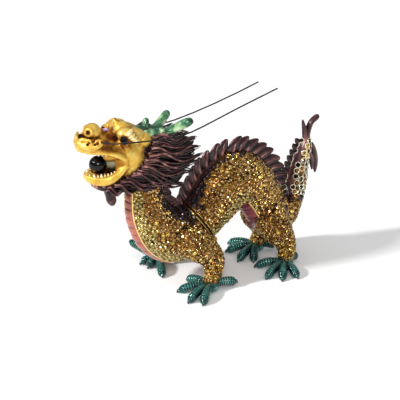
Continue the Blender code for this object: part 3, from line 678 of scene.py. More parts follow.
def chaton():
    # a brilliant's crown: an eight-sided girdle, turned and drawn in twice up to a flat table
    deselectAll()
    bpy.ops.mesh.primitive_circle_add(
        vertices=stones["facets"], radius=1, fill_type="NGON", location=(0, 0, 0))
    bpy.ops.object.mode_set(mode="EDIT")
    bpy.ops.mesh.select_all(action="SELECT")
    half = math.pi / stones["facets"]
    for scale, turn in ((0.8, half), (stones["table"] / 0.8, half)):
        bpy.ops.mesh.extrude_region_move(TRANSFORM_OT_translate={"value": (0, 0, stones["height"] / 2)})
        bpy.ops.transform.resize(value=(scale, scale, 1), center_override=(0, 0, 0))
        bpy.ops.transform.rotate(value=turn, orient_axis="Z", center_override=(0, 0, 0))
    bpy.ops.mesh.select_all(action="SELECT")
    bpy.ops.mesh.quads_convert_to_tris()
    bpy.ops.object.mode_set(mode="OBJECT")
    return bpy.context.object


def collar():
    deselectAll()
    bpy.ops.mesh.primitive_torus_add(
        major_radius=1.06, minor_radius=stones["collar"], major_segments=10, minor_segments=4,
        location=(0, 0, 0.1))
    bpy.ops.object.transform_apply(location=True, rotation=True, scale=True)
    return bpy.context.object


def copiesOf(pattern, places, name, tones=None, rng=None):
    # one mesh with a copy of the pattern at each place, normal, size and turn
    base = pattern.data
    count = len(base.vertices)
    corners = readRows(base.vertices, "co")
    faces = [list(face.vertices) for face in base.polygons]
    core = [math.hypot(face.center.x, face.center.y) < 0.42 for face in base.polygons]
    allCorners, allFaces, faceTones = [], [], []
    for k, (place, normal, size, turn, palette) in enumerate(places):
        turned = normal.to_track_quat("Z", "Y").to_matrix() @ Matrix.Rotation(turn, 3, "Z")
        allCorners.append(corners @ (np.array(turned).T * size) + np.array(place))
        allFaces += [[k * count + corner for corner in face] for face in faces]
        if tones:
            # table faces mostly dark, the other facets painted with reflections and glints from the palette
            pool = tones[palette]
            dark = pool[rng.randrange(2)]
            for face, isCore in zip(faces, core):
                pick = dark if isCore and rng.random() < 0.85 else pool[rng.randrange(len(pool))]
                faceTones += [pick] * len(face)
    mesh = bpy.data.meshes.new(name)
    mesh.from_pydata(np.concatenate(allCorners).tolist(), [], allFaces)
    made = bpy.data.objects.new(name, mesh)
    bpy.context.scene.collection.objects.link(made)
    if tones:
        layer = mesh.color_attributes.new("colourAndGlint", "FLOAT_COLOR", "CORNER")
        linear = {code: toLinear(code) for pool in tones.values() for code in pool}
        layer.data.foreach_set(
            "color", np.array([linear[code] for code in faceTones], dtype=np.float32).ravel())
    bpy.data.objects.remove(pattern)
    return made


def isSet(points):
    # where stones may sit: clear of the seam, the enamelled back, the belly plates, the cavity, head and feet
    points = np.asarray(points)
    length, turned, out = onBody(points)
    away = seamDistance(points)
    good = (away > stones["offSeam"]) & (points[:, 2] > stones["offFloor"])
    good &= ~((out < 1.16) & (turned < plumWidth(length) + 3))
    belly = (out < 1.2) & (turned > beltAt(length) - 5) & (np.abs(points[:, 1]) < 7.6)
    good &= ~(belly & (length < tailStart))
    good &= ~((out < 0.9) & (away < 24) & (points[:, 2] > 9))
    return good & ~((points[:, 0] < -20) & (points[:, 2] > 52))


def stoneGap(points):
    points = np.asarray(points)
    length, turned, out = onBody(points)
    gap = np.full(len(points), stones["pitch"])
    low = (turned > belt["angle"] - 34) & (out < 1.2) & (out > 0.9) & (points[:, 0] < 14)
    gap[(points[:, 0] > -14) & (points[:, 0] < 2) & (points[:, 2] < 34) & ~low] = stones["large"]
    gap[low] = stones["fine"]
    gap[length > tailStart + stones["tail"]] = stones["large"]
    return gap


def neighbours(points):
    finder = KDTree(len(points))
    for k, p in enumerate(points):
        finder.insert(p, k)
    finder.balance()
    return finder


def stoneSpots(obj, centres, kind, rng):
    # a close, even scatter over the set part of a trunk, then pushed apart until it packs
    tree = BVHTree.FromObject(obj, bpy.context.evaluated_depsgraph_get())
    areas = np.empty(len(obj.data.polygons))
    obj.data.polygons.foreach_get("area", areas)
    areas[kind > 1] = 0
    draw = np.random.default_rng(7)
    pick = draw.choice(len(areas), size=stones["darts"], p=areas / areas.sum())
    darts = centres[pick] + draw.normal(0, 0.15, (len(pick), 3))
    darts = darts[isSet(darts)]
    cell = stones["large"]
    grid, kept = {}, []

    def isFree(p, gap):
        x, y, z = (p // cell).astype(int)
        for dx in (-1, 0, 1):
            for dy in (-1, 0, 1):
                for dz in (-1, 0, 1):
                    for q in grid.get((x + dx, y + dy, z + dz), ()):
                        if (p[0] - q[0]) ** 2 + (p[1] - q[1]) ** 2 + (p[2] - q[2]) ** 2 < gap * gap:
                            return False
        return True

    for p, gap in zip(darts, stoneGap(darts)):
        if isFree(p, gap * 0.82):
            grid.setdefault(tuple((p // cell).astype(int)), []).append(p)
            kept.append(p)
    kept = np.array(kept)
    for _ in range(16):
        gaps = stoneGap(kept)
        finder = neighbours(kept)
        moved = kept.copy()
        for k, p in enumerate(kept):
            push = np.zeros(3)
            for q, j, away in finder.find_range(p, gaps[k]):
                if j != k and away > 0.01:
                    push += (p - np.array(q)) / away * (gaps[k] - away) * 0.35
            moved[k] = tree.find_nearest(Vector(p + push))[0]
        kept = np.where(isSet(moved)[:, None], moved, kept)
    finder = neighbours(kept)
    gaps = stoneGap(kept)
    length, turned, out = onBody(kept)
    edge = plumWidth(length, 2)
    places = []
    for k, p in enumerate(kept):
        near = finder.find_n(p, 4)
        gap = min(gaps[k] * 1.04, near[1][2] * 1.08, (near[1][2] + near[2][2] + near[3][2]) / 3)
        if gap < 0.62 * gaps[k]:
            continue
        place, normal, _, _ = tree.find_nearest(Vector(p))
        palette = "amber"
        if turned[k] > belt["angle"] - 38 and out[k] < 1.2 and p[0] < 14:
            palette = "olive"
        # plum and smoky stones near the back: their own darker colour, and partly painted shade
        elif out[k] < 1.3 and rng.random() < (edge[k] + 8 - turned[k]) / 18:
            palette = "plum"
        elif length[k] > bodyLength - 12 and out[k] < 1.3 and p[0] > 36:
            palette = "honey" if rng.random() < 0.22 else "smoke"
        elif length[k] > tailStart + stones["tail"] and out[k] < 1.3:
            palette = "smoke" if rng.random() < 0.65 else "amber"
        elif out[k] < 1.2 and rng.random() < 0.8 * (edge[k] + 26 - turned[k]) / 30:
            palette = "smoke"
        elif p[2] < 11 and rng.random() < (0.9 if p[1] > 0 else 0.5) or rng.random() < 0.1:
            palette = "honey"
        places.append((place - normal * 0.05, normal, gap * stones["fill"], rng.random() * math.tau, palette))
    return places


rng = random.Random(11)
for half in ("front", "rear"):
    body = trunks[half]
    centres, kind = paintTrunk(body)
    places = stoneSpots(body, centres, kind, rng)
    print(half, "stones", len(places))
    crystals = copiesOf(chaton(), places, half + "Crystals", stoneColoursAndGlints, rng)
    settle(crystals, half, [crystal], 5)
    collars = copiesOf(collar(), places, half + "Collars")
    # collars are gilt, enamelled between the dark stones of the back, and pale on the tail
    onTail = onBody([place[0] for place in places])[0] > tailStart + stones["tailCollars"]
    dark = np.array([place[4] in ("plum", "smoke") for place in places])
    which = np.where(onTail, 2, np.where(dark, 1, 0))
    faceCount, cornerCount = len(collars.data.polygons), len(collars.data.vertices)
    finish = np.repeat(which, faceCount // len(places)).astype(np.int32)
    collars.data.polygons.foreach_set("material_index", finish)
    depth = np.repeat(which == 1, cornerCount // len(places)).astype(np.float32) * 0.55
    collars.data.attributes.new("patinaAndShade", "FLOAT", "POINT").data.foreach_set("value", depth)
    finishes = [metals[name] for name in ("collar gilt", "plum enamel", "pale gilt")]
    settle(collars, half, finishes, 30)
    # the trunk's painted shade, and the painted shadow of the seam gap
    markShadeAndPatina(body, 0.8, (), box["seamShadow"])
    belly = "coral enamel" if half == "front" else "wine enamel"
    finishes = [metals[name] for name in ("setting gilt", "plum enamel", "inner gilt", belly, "pale gilt")]
    settle(body, half, finishes)
    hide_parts(half + "_casting")


# Belly plates and their gold edge


plates = {"pitch": 2.9, "rise": 0.5, "groove": 0.55, "narrow": 0.72, "rearNarrow": 0.86, "edge": 0.3}


def platesAlong(path, start, end):
    # rows of the swelling tube, and of the gold line down each side of it
    count = max(1, round((end - start) / plates["pitch"]))
    rows, edges = [], {-1: [], 1: []}
    steps = 10
    for k in range(count * steps + 1):
        length = start + (end - start) * k / (count * steps)
        centre, _, back, radius = lineAt(path, length)
        behind = path is bodyPath and length > seamLength
        narrow = radius * plates["rearNarrow" if behind else "narrow"]
        swell = abs(math.sin(math.pi * k / steps)) ** 0.5
        thick = narrow + plates["rise"] - plates["groove"] * (1 - swell)
        rows.append((*(centre - back * (radius - narrow)), thick))
        if k % 2 == 0:
            turn = math.radians(belt["rearAngle" if behind else "angle"])
            for side in edges:
                sideways = Vector((0, side * math.sin(turn) * (radius + 0.1), 0))
                place = centre + back * math.cos(turn) * (radius + 0.1) + sideways
                edges[side].append((*place, plates["edge"]))
    return rows, list(edges.values())


def bellyPieces(half):
    front = half == "front"
    if front:
        runs = [platesAlong(bodyPath, 11, seamLength - 12), platesAlong(flankPath, 0, flankLength - 6)]
    else:
        hindEnd = tailStart - 6
        runs = [
            platesAlong(flankPath, 0, flankLength - 2),
            platesAlong(bodyPath, lengthNear(12.4, 37.2), hindEnd)]
    strip = joined([tubes([rows], 40, bodyWidth) for rows, _ in runs], half + "Belly")
    _, edges = runs[0] if front else runs[1]  # the gold line is seen beside the body's own plates
    line = tubes(edges, 8, bodyWidth)
    line.name = half + "BellyEdge"
    cut(strip, seamBlock(1 if front else -1))
    cutPockets(strip, half)
    cut(strip, boxCavity(box["wall"] - 0.3))
    markShadeAndPatina(strip)
    settle(strip, half, [metals["coral enamel" if front else "wine enamel"]], 50)
    markShadeAndPatina(line)
    settle(line, half, [metals["pale gilt"]], 50)


for half in ("front", "rear"):
    bellyPieces(half)
print("belly plates made")


# Spines along the back, each a leaf with a raised heart


spines = {"pitch": 4.2, "thick": 0.36, "heart": 0.42, "root": 1.2}


def alongBack(start, end, pitch):
    # lengths along the body whose places on its back are a pitch apart
    samples = [start + (end - start) * k / 160 for k in range(161)]
    run, last = [0.0], None
    for length in samples:
        centre, _, back, radius = lineAt(bodyPath, length)
        place = centre + back * (radius + 1)
        if last is not None:
            run.append(run[-1] + (place - last).length)
        last = place
    count = max(1, round(run[-1] / pitch))
    return [float(np.interp(run[-1] * k / count, run, samples)) for k in range(count + 1)]


def leaf(root, tip, lean, width):
    blade = []
    for share, wide in (
            (0, 0.8), (0.16, 0.96), (0.34, 1.02), (0.52, 1.0), (0.7, 0.86), (0.85, 0.64), (0.95, 0.4),
            (1.0, 0.16)):
        place = root.lerp(tip, share) + lean * (share * share - share)
        blade.append((*place, width * wide))
    return blade


def spineRow(start, end, pitch, heightOf, width, lean):
    rows = []
    for length in alongBack(start, end, pitch):
        share = (length - start) / (end - start)
        centre, along, back, radius = lineAt(bodyPath, length)
        height = heightOf(share)
        root = centre + back * (radius - spines["root"])
        tip = centre + back * (radius + height) + along * height * lean
        rows.append(leaf(root, tip, along * height * 0.9, width * (0.62 + 0.38 * height / 6)))
    return rows


def spinePiece(name, rows, body):
    blades = tubes(rows, 14, spines["thick"])
    hearts = tubes([[(x, y, z, r * spines["heart"]) for x, y, z, r in row[1:-1]] for row in rows], 10, 1.25)
    made = joined([blades, hearts], name)
    markShadeAndPatina(made, 1.1)
    return settle(made, body, [metals["plum enamel"]], 45)


neckSpines = spineRow(20, seamLength - 2.5, 2.9, lambda share: 4.2 - 0.6 * share, 2.1, 0.7)
humpHeights = lambda share: float(np.interp(share, (0, 0.25, 0.6, 1), (3.8, 5.4, 5.8, 3.0)))
humpSpines = spineRow(seamLength + 1, tailStart - 4, spines["pitch"], humpHeights, 2.7, 0.85)
tailSpines = spineRow(tailStart + 2, bodyLength - 3, 2.7, lambda share: 4.4 - 1.8 * share, 1.9, 0.7)
spinePiece("neckSpines", neckSpines, "front")
spinePiece("backSpines", humpSpines + tailSpines, "rear")
print("spines made")


# Feet: ribbed toes with claws, on a low pad


foot = {"toe": 1.8, "height": 2.9, "claw": 1.5, "ribs": 1.05, "ribDepth": 0.22}
feet = {  # toes as heading, length and lift, then the spur's heading and length
    "nearFront": (((104, 12.4, 0.0), (160, 12.2, 0.0), (206, 14.2, 0.0), (230, 14.0, 0.0)), (-6, 11.4)),
    "farFront": (((111, 15.0, 4.6), (165, 6.9, 0.0), (205, 6.5, 0.0), (248, 14.4, 0.0)), (-4, 11.0)),
    "nearHind": (((155, 11.6, 0.0), (208, 14.4, 0.0), (234, 14.0, 0.0), (262, 12.4, 0.0)), (25, 8.6)),
    "farHind": (((124, 12.0, 0.0), (165, 12.2, 0.0), (210, 14.4, 0.0), (235, 13.0, 0.0)), (-27, 8.0)),
}


def toeRows(ankle, heading, length, lift):
    out = Vector((math.cos(math.radians(heading)), math.sin(math.radians(heading)), 0))
    base = Vector((ankle[0], ankle[1], 0))
    stages = [
        (0.22, 0.95, 0.95), (0.5, 1.02, 1.0), (0.78, 0.8, 1.06), (0.95, 0.52, 1.0), (1.03, 0.44, 0.62),
        (1.055, 0.42, 0.2)]
    coarse = []
    for share, high, thick in stages:
        place = base + out * length * share + Vector((0, 0, foot["height"] * high + lift * share * share))
        coarse.append((*place, foot["toe"] * thick))
    fine = smoothLine(coarse, 16)
    rows, run = [], 0.0
    for k, row in enumerate(fine):
        if k:
            run += (Vector(row[:3]) - Vector(fine[k - 1][:3])).length
        tipward = k / (len(fine) - 1)
        wave = (0.5 - 0.5 * math.cos(math.tau * run / foot["ribs"])) ** 2
        rows.append((*row[:3], row[3] - foot["ribDepth"] * wave * (1 if 0.08 < tipward < 0.72 else 0)))
    tip = Vector(coarse[-2][:3])
    bend = tip + out * foot["claw"] * 0.4 + Vector((0, 0, -0.3))
    claw = [
        (*(tip - out * 0.9), 0.9), (*tip, 0.84), (*bend, 0.66),
        (*(bend + out * 0.35 + Vector((0, 0, -foot["claw"] * 0.35))), 0.4),
        (*(bend + out * 0.3 + Vector((0, 0, -foot["claw"] * 0.7))), 0.1)]
    return rows, claw


def footPieces(name, body):
    toes, (spur, spurLength) = feet[name]
    ankle = limbs[name][-1]
    rows, claws = [], []
    for heading, length, lift in (*toes, (spur, spurLength, 1.0)):
        toe, claw = toeRows(ankle, heading, length, lift)
        rows.append(toe)
        claws.append(claw)
    made = joined([ball((ankle[0], ankle[1], 2.2), (3.9, 3.9, 2.7)), tubes(rows, 20)], name + "Foot")
    nails = tubes(claws, 12, smooth=4)
    nails.name = name + "Claws"
    for part, least in ((made, 0.0), (nails, 0.02)):
        for vertex in part.data.vertices:
            vertex.co.z = max(vertex.co.z, least)  # flat soles on the table
    markShadeAndPatina(made, 1.1)
    settle(made, body, [metals["teal enamel"]], 50)
    markShadeAndPatina(nails)
    settle(nails, body, [metals["teal enamel"]], 60)


for name in feet:
    footPieces(name, "front" if name.endswith("Front") else "rear")
print("feet made")


# Head


head = {"skin": 0.28, "fillet": 0.4, "knob": 3.6}
pearlBall = {"place": (-58.3, 0, 57.9), "radius": 3.7, "seat": 4.0}
knob = Vector((-60.6, 0, 72.3))
nostril = Vector((-0.77, -0.61, 0.19)).normalized()


def aroundFront(half):
    return [*half, *((x, -y, z, r) for x, y, z, r in reversed(half[:-1]))]


def spiral(centre, facing, start, turns, radius, thickness, steps=22):
    # a curl: a line that winds in towards its middle
    basis = Vector(facing).to_track_quat("Z", "Y").to_matrix()
    rows = []
    for k in range(steps + 1):
        share = k / steps
        turn = math.radians(start) + share * turns * math.tau
        reach = radius * (1 - 0.78 * share)
        place = Vector(centre) + basis @ Vector(
            (math.cos(turn) * reach, math.sin(turn) * reach, 0.35 * share))
        rows.append((*place, thickness * (1 - 0.3 * share)))
    return rows


def faceHalf():
    parts = [
        ball((-47.0, -4.8, 60.4), (7.4, 4.8, 9.4), -25),
        ball((-53.0, -4.6, 64.0), (5.6, 3.7, 3.2), -22),
        ball((-48.0, -1.7, 71.4), (3.8, 3.6, 3.7), 8),
        ball((-48.4, -5.2, 70.6), (3.7, 3.3, 2.9), 12),
        ball((-43.8, -4.0, 69.4), (5.6, 4.2, 2.9), 18),
        ball((-40.6, -5.4, 67.0), (3.6, 3.4, 3.4)),
        ring(knob + nostril * 3.2, nostril, 1.5, 0.55),
        ring((-51.0, -8.3, 69.4), (-0.3, -0.95, 0.1), 1.8, 0.3),
    ]
    lines = [
        [(-49.8, -0.2, 73.4, 1.7), (-50.4, -0.1, 75.0, 1.1), (-50.6, 0.0, 76.3, 0.4)],
        [(-61.6, -5.6, 69.4, 1.4), (-60.6, -6.4, 69.8, 1.3), (-59.4, -7.1, 69.8, 1.1)],
        spiral((-64.6, -5.0, 70.4), (-0.7, -0.7, 0.1), 200, 1.15, 1.4, 0.55),
        [(-66.9, -0.6, 69.4, 0.9), (-66.6, -2.0, 70.4, 0.9), (-65.6, -3.4, 70.9, 0.8),
            (-64.4, -4.4, 70.4, 0.6)],
        spiral((-49.7, -9.1, 66.7), (-0.2, -1, 0), 60, 1.0, 1.5, 0.5),
    ]
    parts.append(tubes(lines, 12, smooth=4))
    return bothSides(parts)


def faceMiddle():
    size = head["knob"]
    parts = [
        ball((-45.6, 0, 63.4), (8.8, 8.8, 8.4), -15),
        ball((-58.4, 0, 66.6), (9.2, 7.1, 3.6), 3),
        ball((-56.0, 0, 69.4), (6.0, 3.4, 2.7), 6),
        ball(knob, (size, size, size)),
        rod(knob + Vector((0.6, 0, -0.4)), (-55.4, 0, 69.8), 3.1, 2.2, 28),
        ball((-55.4, 0, 52.0), (7.4, 6.2, 3.3), 14),
    ]
    lines = {
        "moustache": [(-59.6, -7.1, 69.4, 1.0), (-62.2, -6.7, 68.4, 1.3), (-64.6, -5.2, 68.0, 1.4),
            (-66.2, -3.0, 68.4, 1.35), (-67.0, -1.2, 68.8, 1.3), (-67.1, 0, 68.9, 1.3)],
        "fringe": [(-60.6, -7.3, 67.8, 0.5), (-63.4, -6.2, 66.9, 0.6), (-65.8, -3.8, 66.9, 0.6),
            (-67.2, -1.4, 67.4, 0.6), (-67.4, 0, 67.4, 0.6)],
        "upperRim": [(-50.0, -8.4, 60.8, 1.2), (-52.4, -8.3, 63.0, 1.2), (-56.0, -7.6, 64.9, 1.2),
            (-59.4, -6.8, 65.7, 1.2), (-63.0, -5.2, 66.0, 1.2), (-65.8, -2.8, 66.3, 1.2),
            (-66.5, 0, 66.4, 1.2)],
        "upperLip": [(-49.9, -9.1, 59.9, 0.4), (-52.8, -9.1, 62.3, 0.42), (-56.6, -8.3, 64.2, 0.42),
            (-60.8, -7.0, 65.0, 0.42), (-64.8, -4.4, 65.3, 0.42), (-67.2, 0, 65.6, 0.42)],
        "lowerRim": [(-49.8, -8.4, 58.6, 1.3), (-53.4, -7.5, 54.9, 1.7), (-57.4, -6.1, 52.8, 2.0),
            (-61.0, -3.5, 52.6, 1.9), (-62.3, 0, 52.9, 1.9)],
        "lowerLip": [(-50.0, -9.2, 59.3, 0.4), (-53.2, -8.8, 56.3, 0.45), (-57.6, -7.3, 54.3, 0.45),
            (-61.6, -4.8, 53.9, 0.45), (-63.9, 0, 54.2, 0.45)],
    }
    parts.append(tubes([aroundFront(half) for half in lines.values()], 16, smooth=5))
    return parts


def pearlSeat():
    return ball(pearlBall["place"], [pearlBall["seat"]] * 3)


def faceHoles(obj):
    # mouth, nostrils, the hollows at the whiskers' roots, pits along the moustache, and the seats of
    # eyes and pearl
    tools = [pearlSeat(), ball((-51.8, 0, 59.8), (7.6, 7.1, 4.2), -10)]
    for side in (-1, 1):
        way = Vector((nostril.x, -side * nostril.y, nostril.z))
        tools.append(ball(knob + way * 3.7, (0.95, 0.95, 0.95)))
        tools.append(ball((-50.9, side * 8.5, 69.4), (1.65, 1.65, 1.65)))
        tools.append(ball((-59.9, side * 8.0, 70.2), (1.0, 0.9, 0.7)))
        for x, y, z in ((-62.9, 7.3, 69.4), (-65.4, 5.6, 69.3), (-61.2, 7.9, 67.2)):
            tools.append(ball((x, side * y, z), (0.55, 0.8, 0.5)))
    for tool in tools:
        cut(obj, tool)
    return obj


face = moulded(joined(faceHalf() + faceMiddle(), "face"), head["skin"], head["fillet"], 3, 0.45)
faceHoles(face)
umberAndShade = [  # place on the near side, radius and depth of the brown wash, the same on both sides: umber patina on the bridge and under the moustache, painted shade round the eye, in the nostrils, pits and mouth
    ((-56.4, 1.6, 71.4), 3.0, 0.7), ((-54.4, 4.0, 70.4), 3.2, 0.8), ((-56.6, 5.8, 69.4), 3.0, 0.8),
    ((-54.0, 7.2, 68.4), 2.8, 0.82),
    ((-59.2, 7.2, 67.4), 2.4, 0.7), ((-57.4, 7.6, 67.1), 2.8, 0.74), ((-55.6, 7.9, 66.9), 2.8, 0.76),
    ((-53.8, 8.2, 66.7), 2.8, 0.76), ((-52.0, 8.6, 66.5), 2.4, 0.74),
    ((-50.9, 8.8, 69.4), 2.7, 1.0), ((-49.7, 9.4, 66.7), 1.2, 0.7), ((-63.5, 2.25, 73.0), 1.1, 1.0),
    ((-61.9, 7.4, 69.9), 1.0, 0.9),
    ((-64.6, 5.4, 69.9), 0.9, 0.9), ((-50.2, 0.4, 76.4), 1.2, 0.7), ((-50.6, 4.4, 59.8), 5.4, 1.0),
    ((-54.6, 3.6, 61.4), 4.8, 1.0),
    ((-57.0, 1.5, 63.2), 4.4, 1.0), ((-58.6, 2.4, 55.0), 3.0, 0.95), ((-54.6, 3.0, 56.4), 3.8, 1.0),
]
markShadeAndPatina(face, 0.75, umberAndShade)
settle(face, "front", [metals["face gilt"]], 60)
print("face", len(face.data.polygons), "faces")


def browTufts():
    # the eyebrow: pale overlapping leaves behind and above the eye
    rows = []
    for k in range(4):
        share = k / 3
        root = Vector((-50.2 + 3.4 * share, -7.7 - 0.8 * share, 71.3 - 2.6 * share))
        tip = root + Vector((4.6 - 0.8 * share, -0.1, 1.9 - 2.2 * share))
        rows.append(
            [(*root, 0.5), (*(root.lerp(tip, 0.4) + Vector((0, -0.3, -0.3))), 1.15),
                (*root.lerp(tip, 0.75), 0.8), (*tip, 0.15)])
    return tubes(rows, 12, smooth=3)


tufts = joined(bothSides([browTufts()]), "browTufts")
markShadeAndPatina(tufts)
settle(tufts, "front", [metals["pale gilt"]], 60)


def toothRows():
    rows = []
    for k in range(12):
        share = k / 11
        x, y, z = -66.0 + 15.2 * share, -1.4 - 7.0 * share**0.55, 65.2 - 3.7 * share**2.0
        size = 0.42 + 0.22 * (k in (1, 4)) - 0.08 * share
        rows.append(
            [(x, y, z + 0.5, size), (x, y, z - 0.3, size * 0.9),
                (x - 0.1, y + 0.2, z - 0.6 - size * 1.1, 0.1)])
    for k in range(11):
        share = k / 10
        x, y, z = -62.8 + 12.0 * share, -1.6 - 6.8 * share**0.6, 54.2 + 3.4 * share**2
        size = 0.42 + 0.24 * (k in (1, 3)) - 0.06 * share
        rows.append(
            [(x, y, z - 0.5, size), (x, y, z + 0.2, size * 0.9),
                (x - 0.1, y + 0.1, z + 0.4 + size * 1.1, 0.1)])
    return rows


teeth = joined(bothSides([tubes(toothRows(), 12, smooth=3)]), "teeth")
markShadeAndPatina(teeth)
settle(teeth, "front", [metals["tooth enamel"]], 60)

tongue = tubes(
    [[(-46.6, 0, 59.0, 4.2), (-49.6, 0, 60.0, 4.4), (-52.6, 0, 59.4, 4.0), (-55.0, 0, 58.0, 2.8),
        (-56.0, 0, 57.2, 1.2)]], 28, 1.6, 5)
tongue.name = "tongue"
cut(tongue, pearlSeat())
markShadeAndPatina(tongue)
settle(tongue, "front", [metals["moss enamel"]], 60)

pearl = ball(pearlBall["place"], [pearlBall["radius"]] * 3, 0, 64, 40)
pearl.name = "blackPearl"
settle(pearl, "front", [blackGlass], 60)
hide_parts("pearl")

noseJewel = chaton()
noseJewel.name = "noseJewel"
noseJewel.data.transform(
    Matrix.Translation((-55.0, -0.6, 72.2)) @ Matrix.Rotation(math.radians(-12), 4, "X") @ Matrix.Scale(1.5,
        4))
settle(noseJewel, "front", [lilacGlass], 5)


# Antlers


antlerLines = {  # beam and prong, as if each stood on the near side
    "left": (
        [(-42.4, -4.4, 68.6, 1.7), (-38.4, -5.0, 68.9, 1.75), (-33.8, -5.2, 68.6, 1.75),
            (-29.2, -5.6, 68.6, 1.75), (-25.2, -7.0, 70.3, 1.95),
         (-22.2, -8.6, 72.0, 1.95), (-20.6, -9.4, 72.7, 1.5), (-19.9, -9.75, 73.1, 0.7)],
        [(-33.6, -5.0, 67.8, 1.8), (-32.6, -5.8, 69.2, 1.7), (-32.0, -6.3, 70.2, 1.4),
            (-31.8, -6.5, 70.8, 0.7)]),
    "right": (
        [(-42.4, -4.4, 68.2, 1.7), (-38.4, -4.8, 68.0, 1.75), (-34.4, -5.0, 66.9, 1.8),
            (-30.6, -5.2, 66.3, 1.8), (-27.2, -5.7, 68.0, 1.85),
         (-24.3, -6.3, 70.5, 1.85), (-22.7, -6.6, 71.8, 1.5), (-22.0, -6.7, 72.4, 0.7)],
        [(-34.6, -5.0, 67.2, 1.6), (-33.8, -5.2, 69.4, 1.5), (-33.3, -5.4, 70.9, 1.3),
            (-33.1, -5.5, 71.8, 0.6)]),
}


def antler(name, rows, mirrorIt):
    made = tubes(rows, 24, smooth=6)
    if mirrorIt:
        made.data.transform(Matrix.Diagonal((1, -1, 1, 1)))
        made.data.flip_normals()
    made.name = name
    moulded(made, 0.28, 0, 6)
    markShadeAndPatina(made, 1.0, [((-20.4, abs(rows[0][-1][1]), rows[0][-1][2]), 3.0, 0.8)])
    return settle(made, "front", [metals["green enamel"]], 60)


antler("antlerLeft", antlerLines["left"], False)
antler("antlerRight", antlerLines["right"], True)
print("antlers made")


# Mane: locks of fine strands over a solid core


mane = {"strands": 8, "thin": 0.4}
maneLocks = [  # root and tip on the near side, and the lock's thickness
    ((-37.2, -7.0, 66.8), (-20.4, -6.0, 65.0), 1.5), ((-38.2, -7.9, 65.2), (-14.3, -3.2, 60.6), 1.8),
    ((-39.4, -8.6, 63.4), (-13.2, -4.4, 57.2), 1.7), ((-40.8, -9.0, 61.4), (-11.8, -4.0, 53.4), 1.8),
    ((-42.4, -9.2, 59.4), (-14.0, -5.0, 50.8), 1.7), ((-44.0, -9.0, 57.6), (-17.0, -5.6, 47.2), 1.7),
    ((-45.8, -8.7, 56.0), (-20.8, -5.6, 42.2), 1.7), ((-47.8, -8.3, 54.5), (-25.4, -7.0, 45.0), 1.6),
    ((-50.0, -7.8, 53.0), (-31.5, -7.6, 46.4), 1.5), ((-52.2, -7.2, 51.6), (-37.0, -8.4, 46.4), 1.4),
    ((-54.4, -6.4, 50.4), (-43.0, -8.4, 46.2), 1.3), ((-56.8, -5.2, 49.4), (-48.6, -7.4, 46.4), 1.2),
    ((-34.0, -6.4, 64.6), (-16.0, -3.6, 59.0), 1.8), ((-35.0, -7.2, 61.4), (-15.4, -3.8, 55.4), 1.9),
    ((-36.4, -7.6, 58.4), (-16.8, -4.0, 51.2), 1.9), ((-38.0, -7.8, 55.6), (-20.0, -4.6, 47.0), 1.9),
    ((-40.0, -7.8, 53.0), (-24.6, -5.4, 44.2), 1.8), ((-43.0, -7.6, 51.2), (-30.0, -6.2, 45.0), 1.6),
    ((-46.6, -7.0, 49.8), (-36.4, -7.0, 45.6), 1.4),
    ((-29.0, -3.6, 60.0), (-15.0, -2.2, 53.0), 2.2), ((-31.0, -3.8, 55.6), (-17.6, -2.6, 48.6), 2.2),
    ((-33.4, -4.0, 51.8), (-21.4, -3.2, 44.6), 2.1),
]


def lockRows(root, tip, radius, strands, swing=1.0, bulge=1.2, seed=0):
    root, tip = Vector(root), Vector(tip)
    side = math.copysign(1, root.y if abs(root.y) > 0.2 else 1)
    along = (tip - root).normalized()
    across = along.cross(Vector((0, 1, 0))).normalized()
    outward = across.cross(along).normalized()
    reach = (tip - root).length
    rows = []
    for k in range(strands):
        turn = math.tau * (k + 0.37 * seed) / strands
        spread = 0.5 + 0.5 * ((k * 7 + seed * 3) % 5) / 4
        ways = across * math.cos(turn) + outward * math.sin(turn)
        early = 1 - 0.07 * ((k * 5 + seed) % 4) / 3  # strands end one after another
        row = []
        for step in range(10):
            share = step / 9 * early
            thick = radius * (0.75 + 1.5 * share) * (1 - share) ** 0.7 + 0.1
            place = root.lerp(tip, share)
            place.z += swing * (
                math.sin(share * 7.4 + 0.9 * (seed % 3)) * min(1,
                    share * 4) * (1 - 0.5 * share) + 0.9 * share**3)
            place.y += side * bulge * math.sin(share * math.pi)
            wave = 0.42 * math.sin(share * reach / 3.2 + k * 1.9 + seed)
            place += ways * thick * 0.75 * spread + across * wave
            row.append((*place, max(0.1, mane["thin"] * radius * (1.15 - (step / 9) ** 2.2))))
        rows.append(row)
    return rows


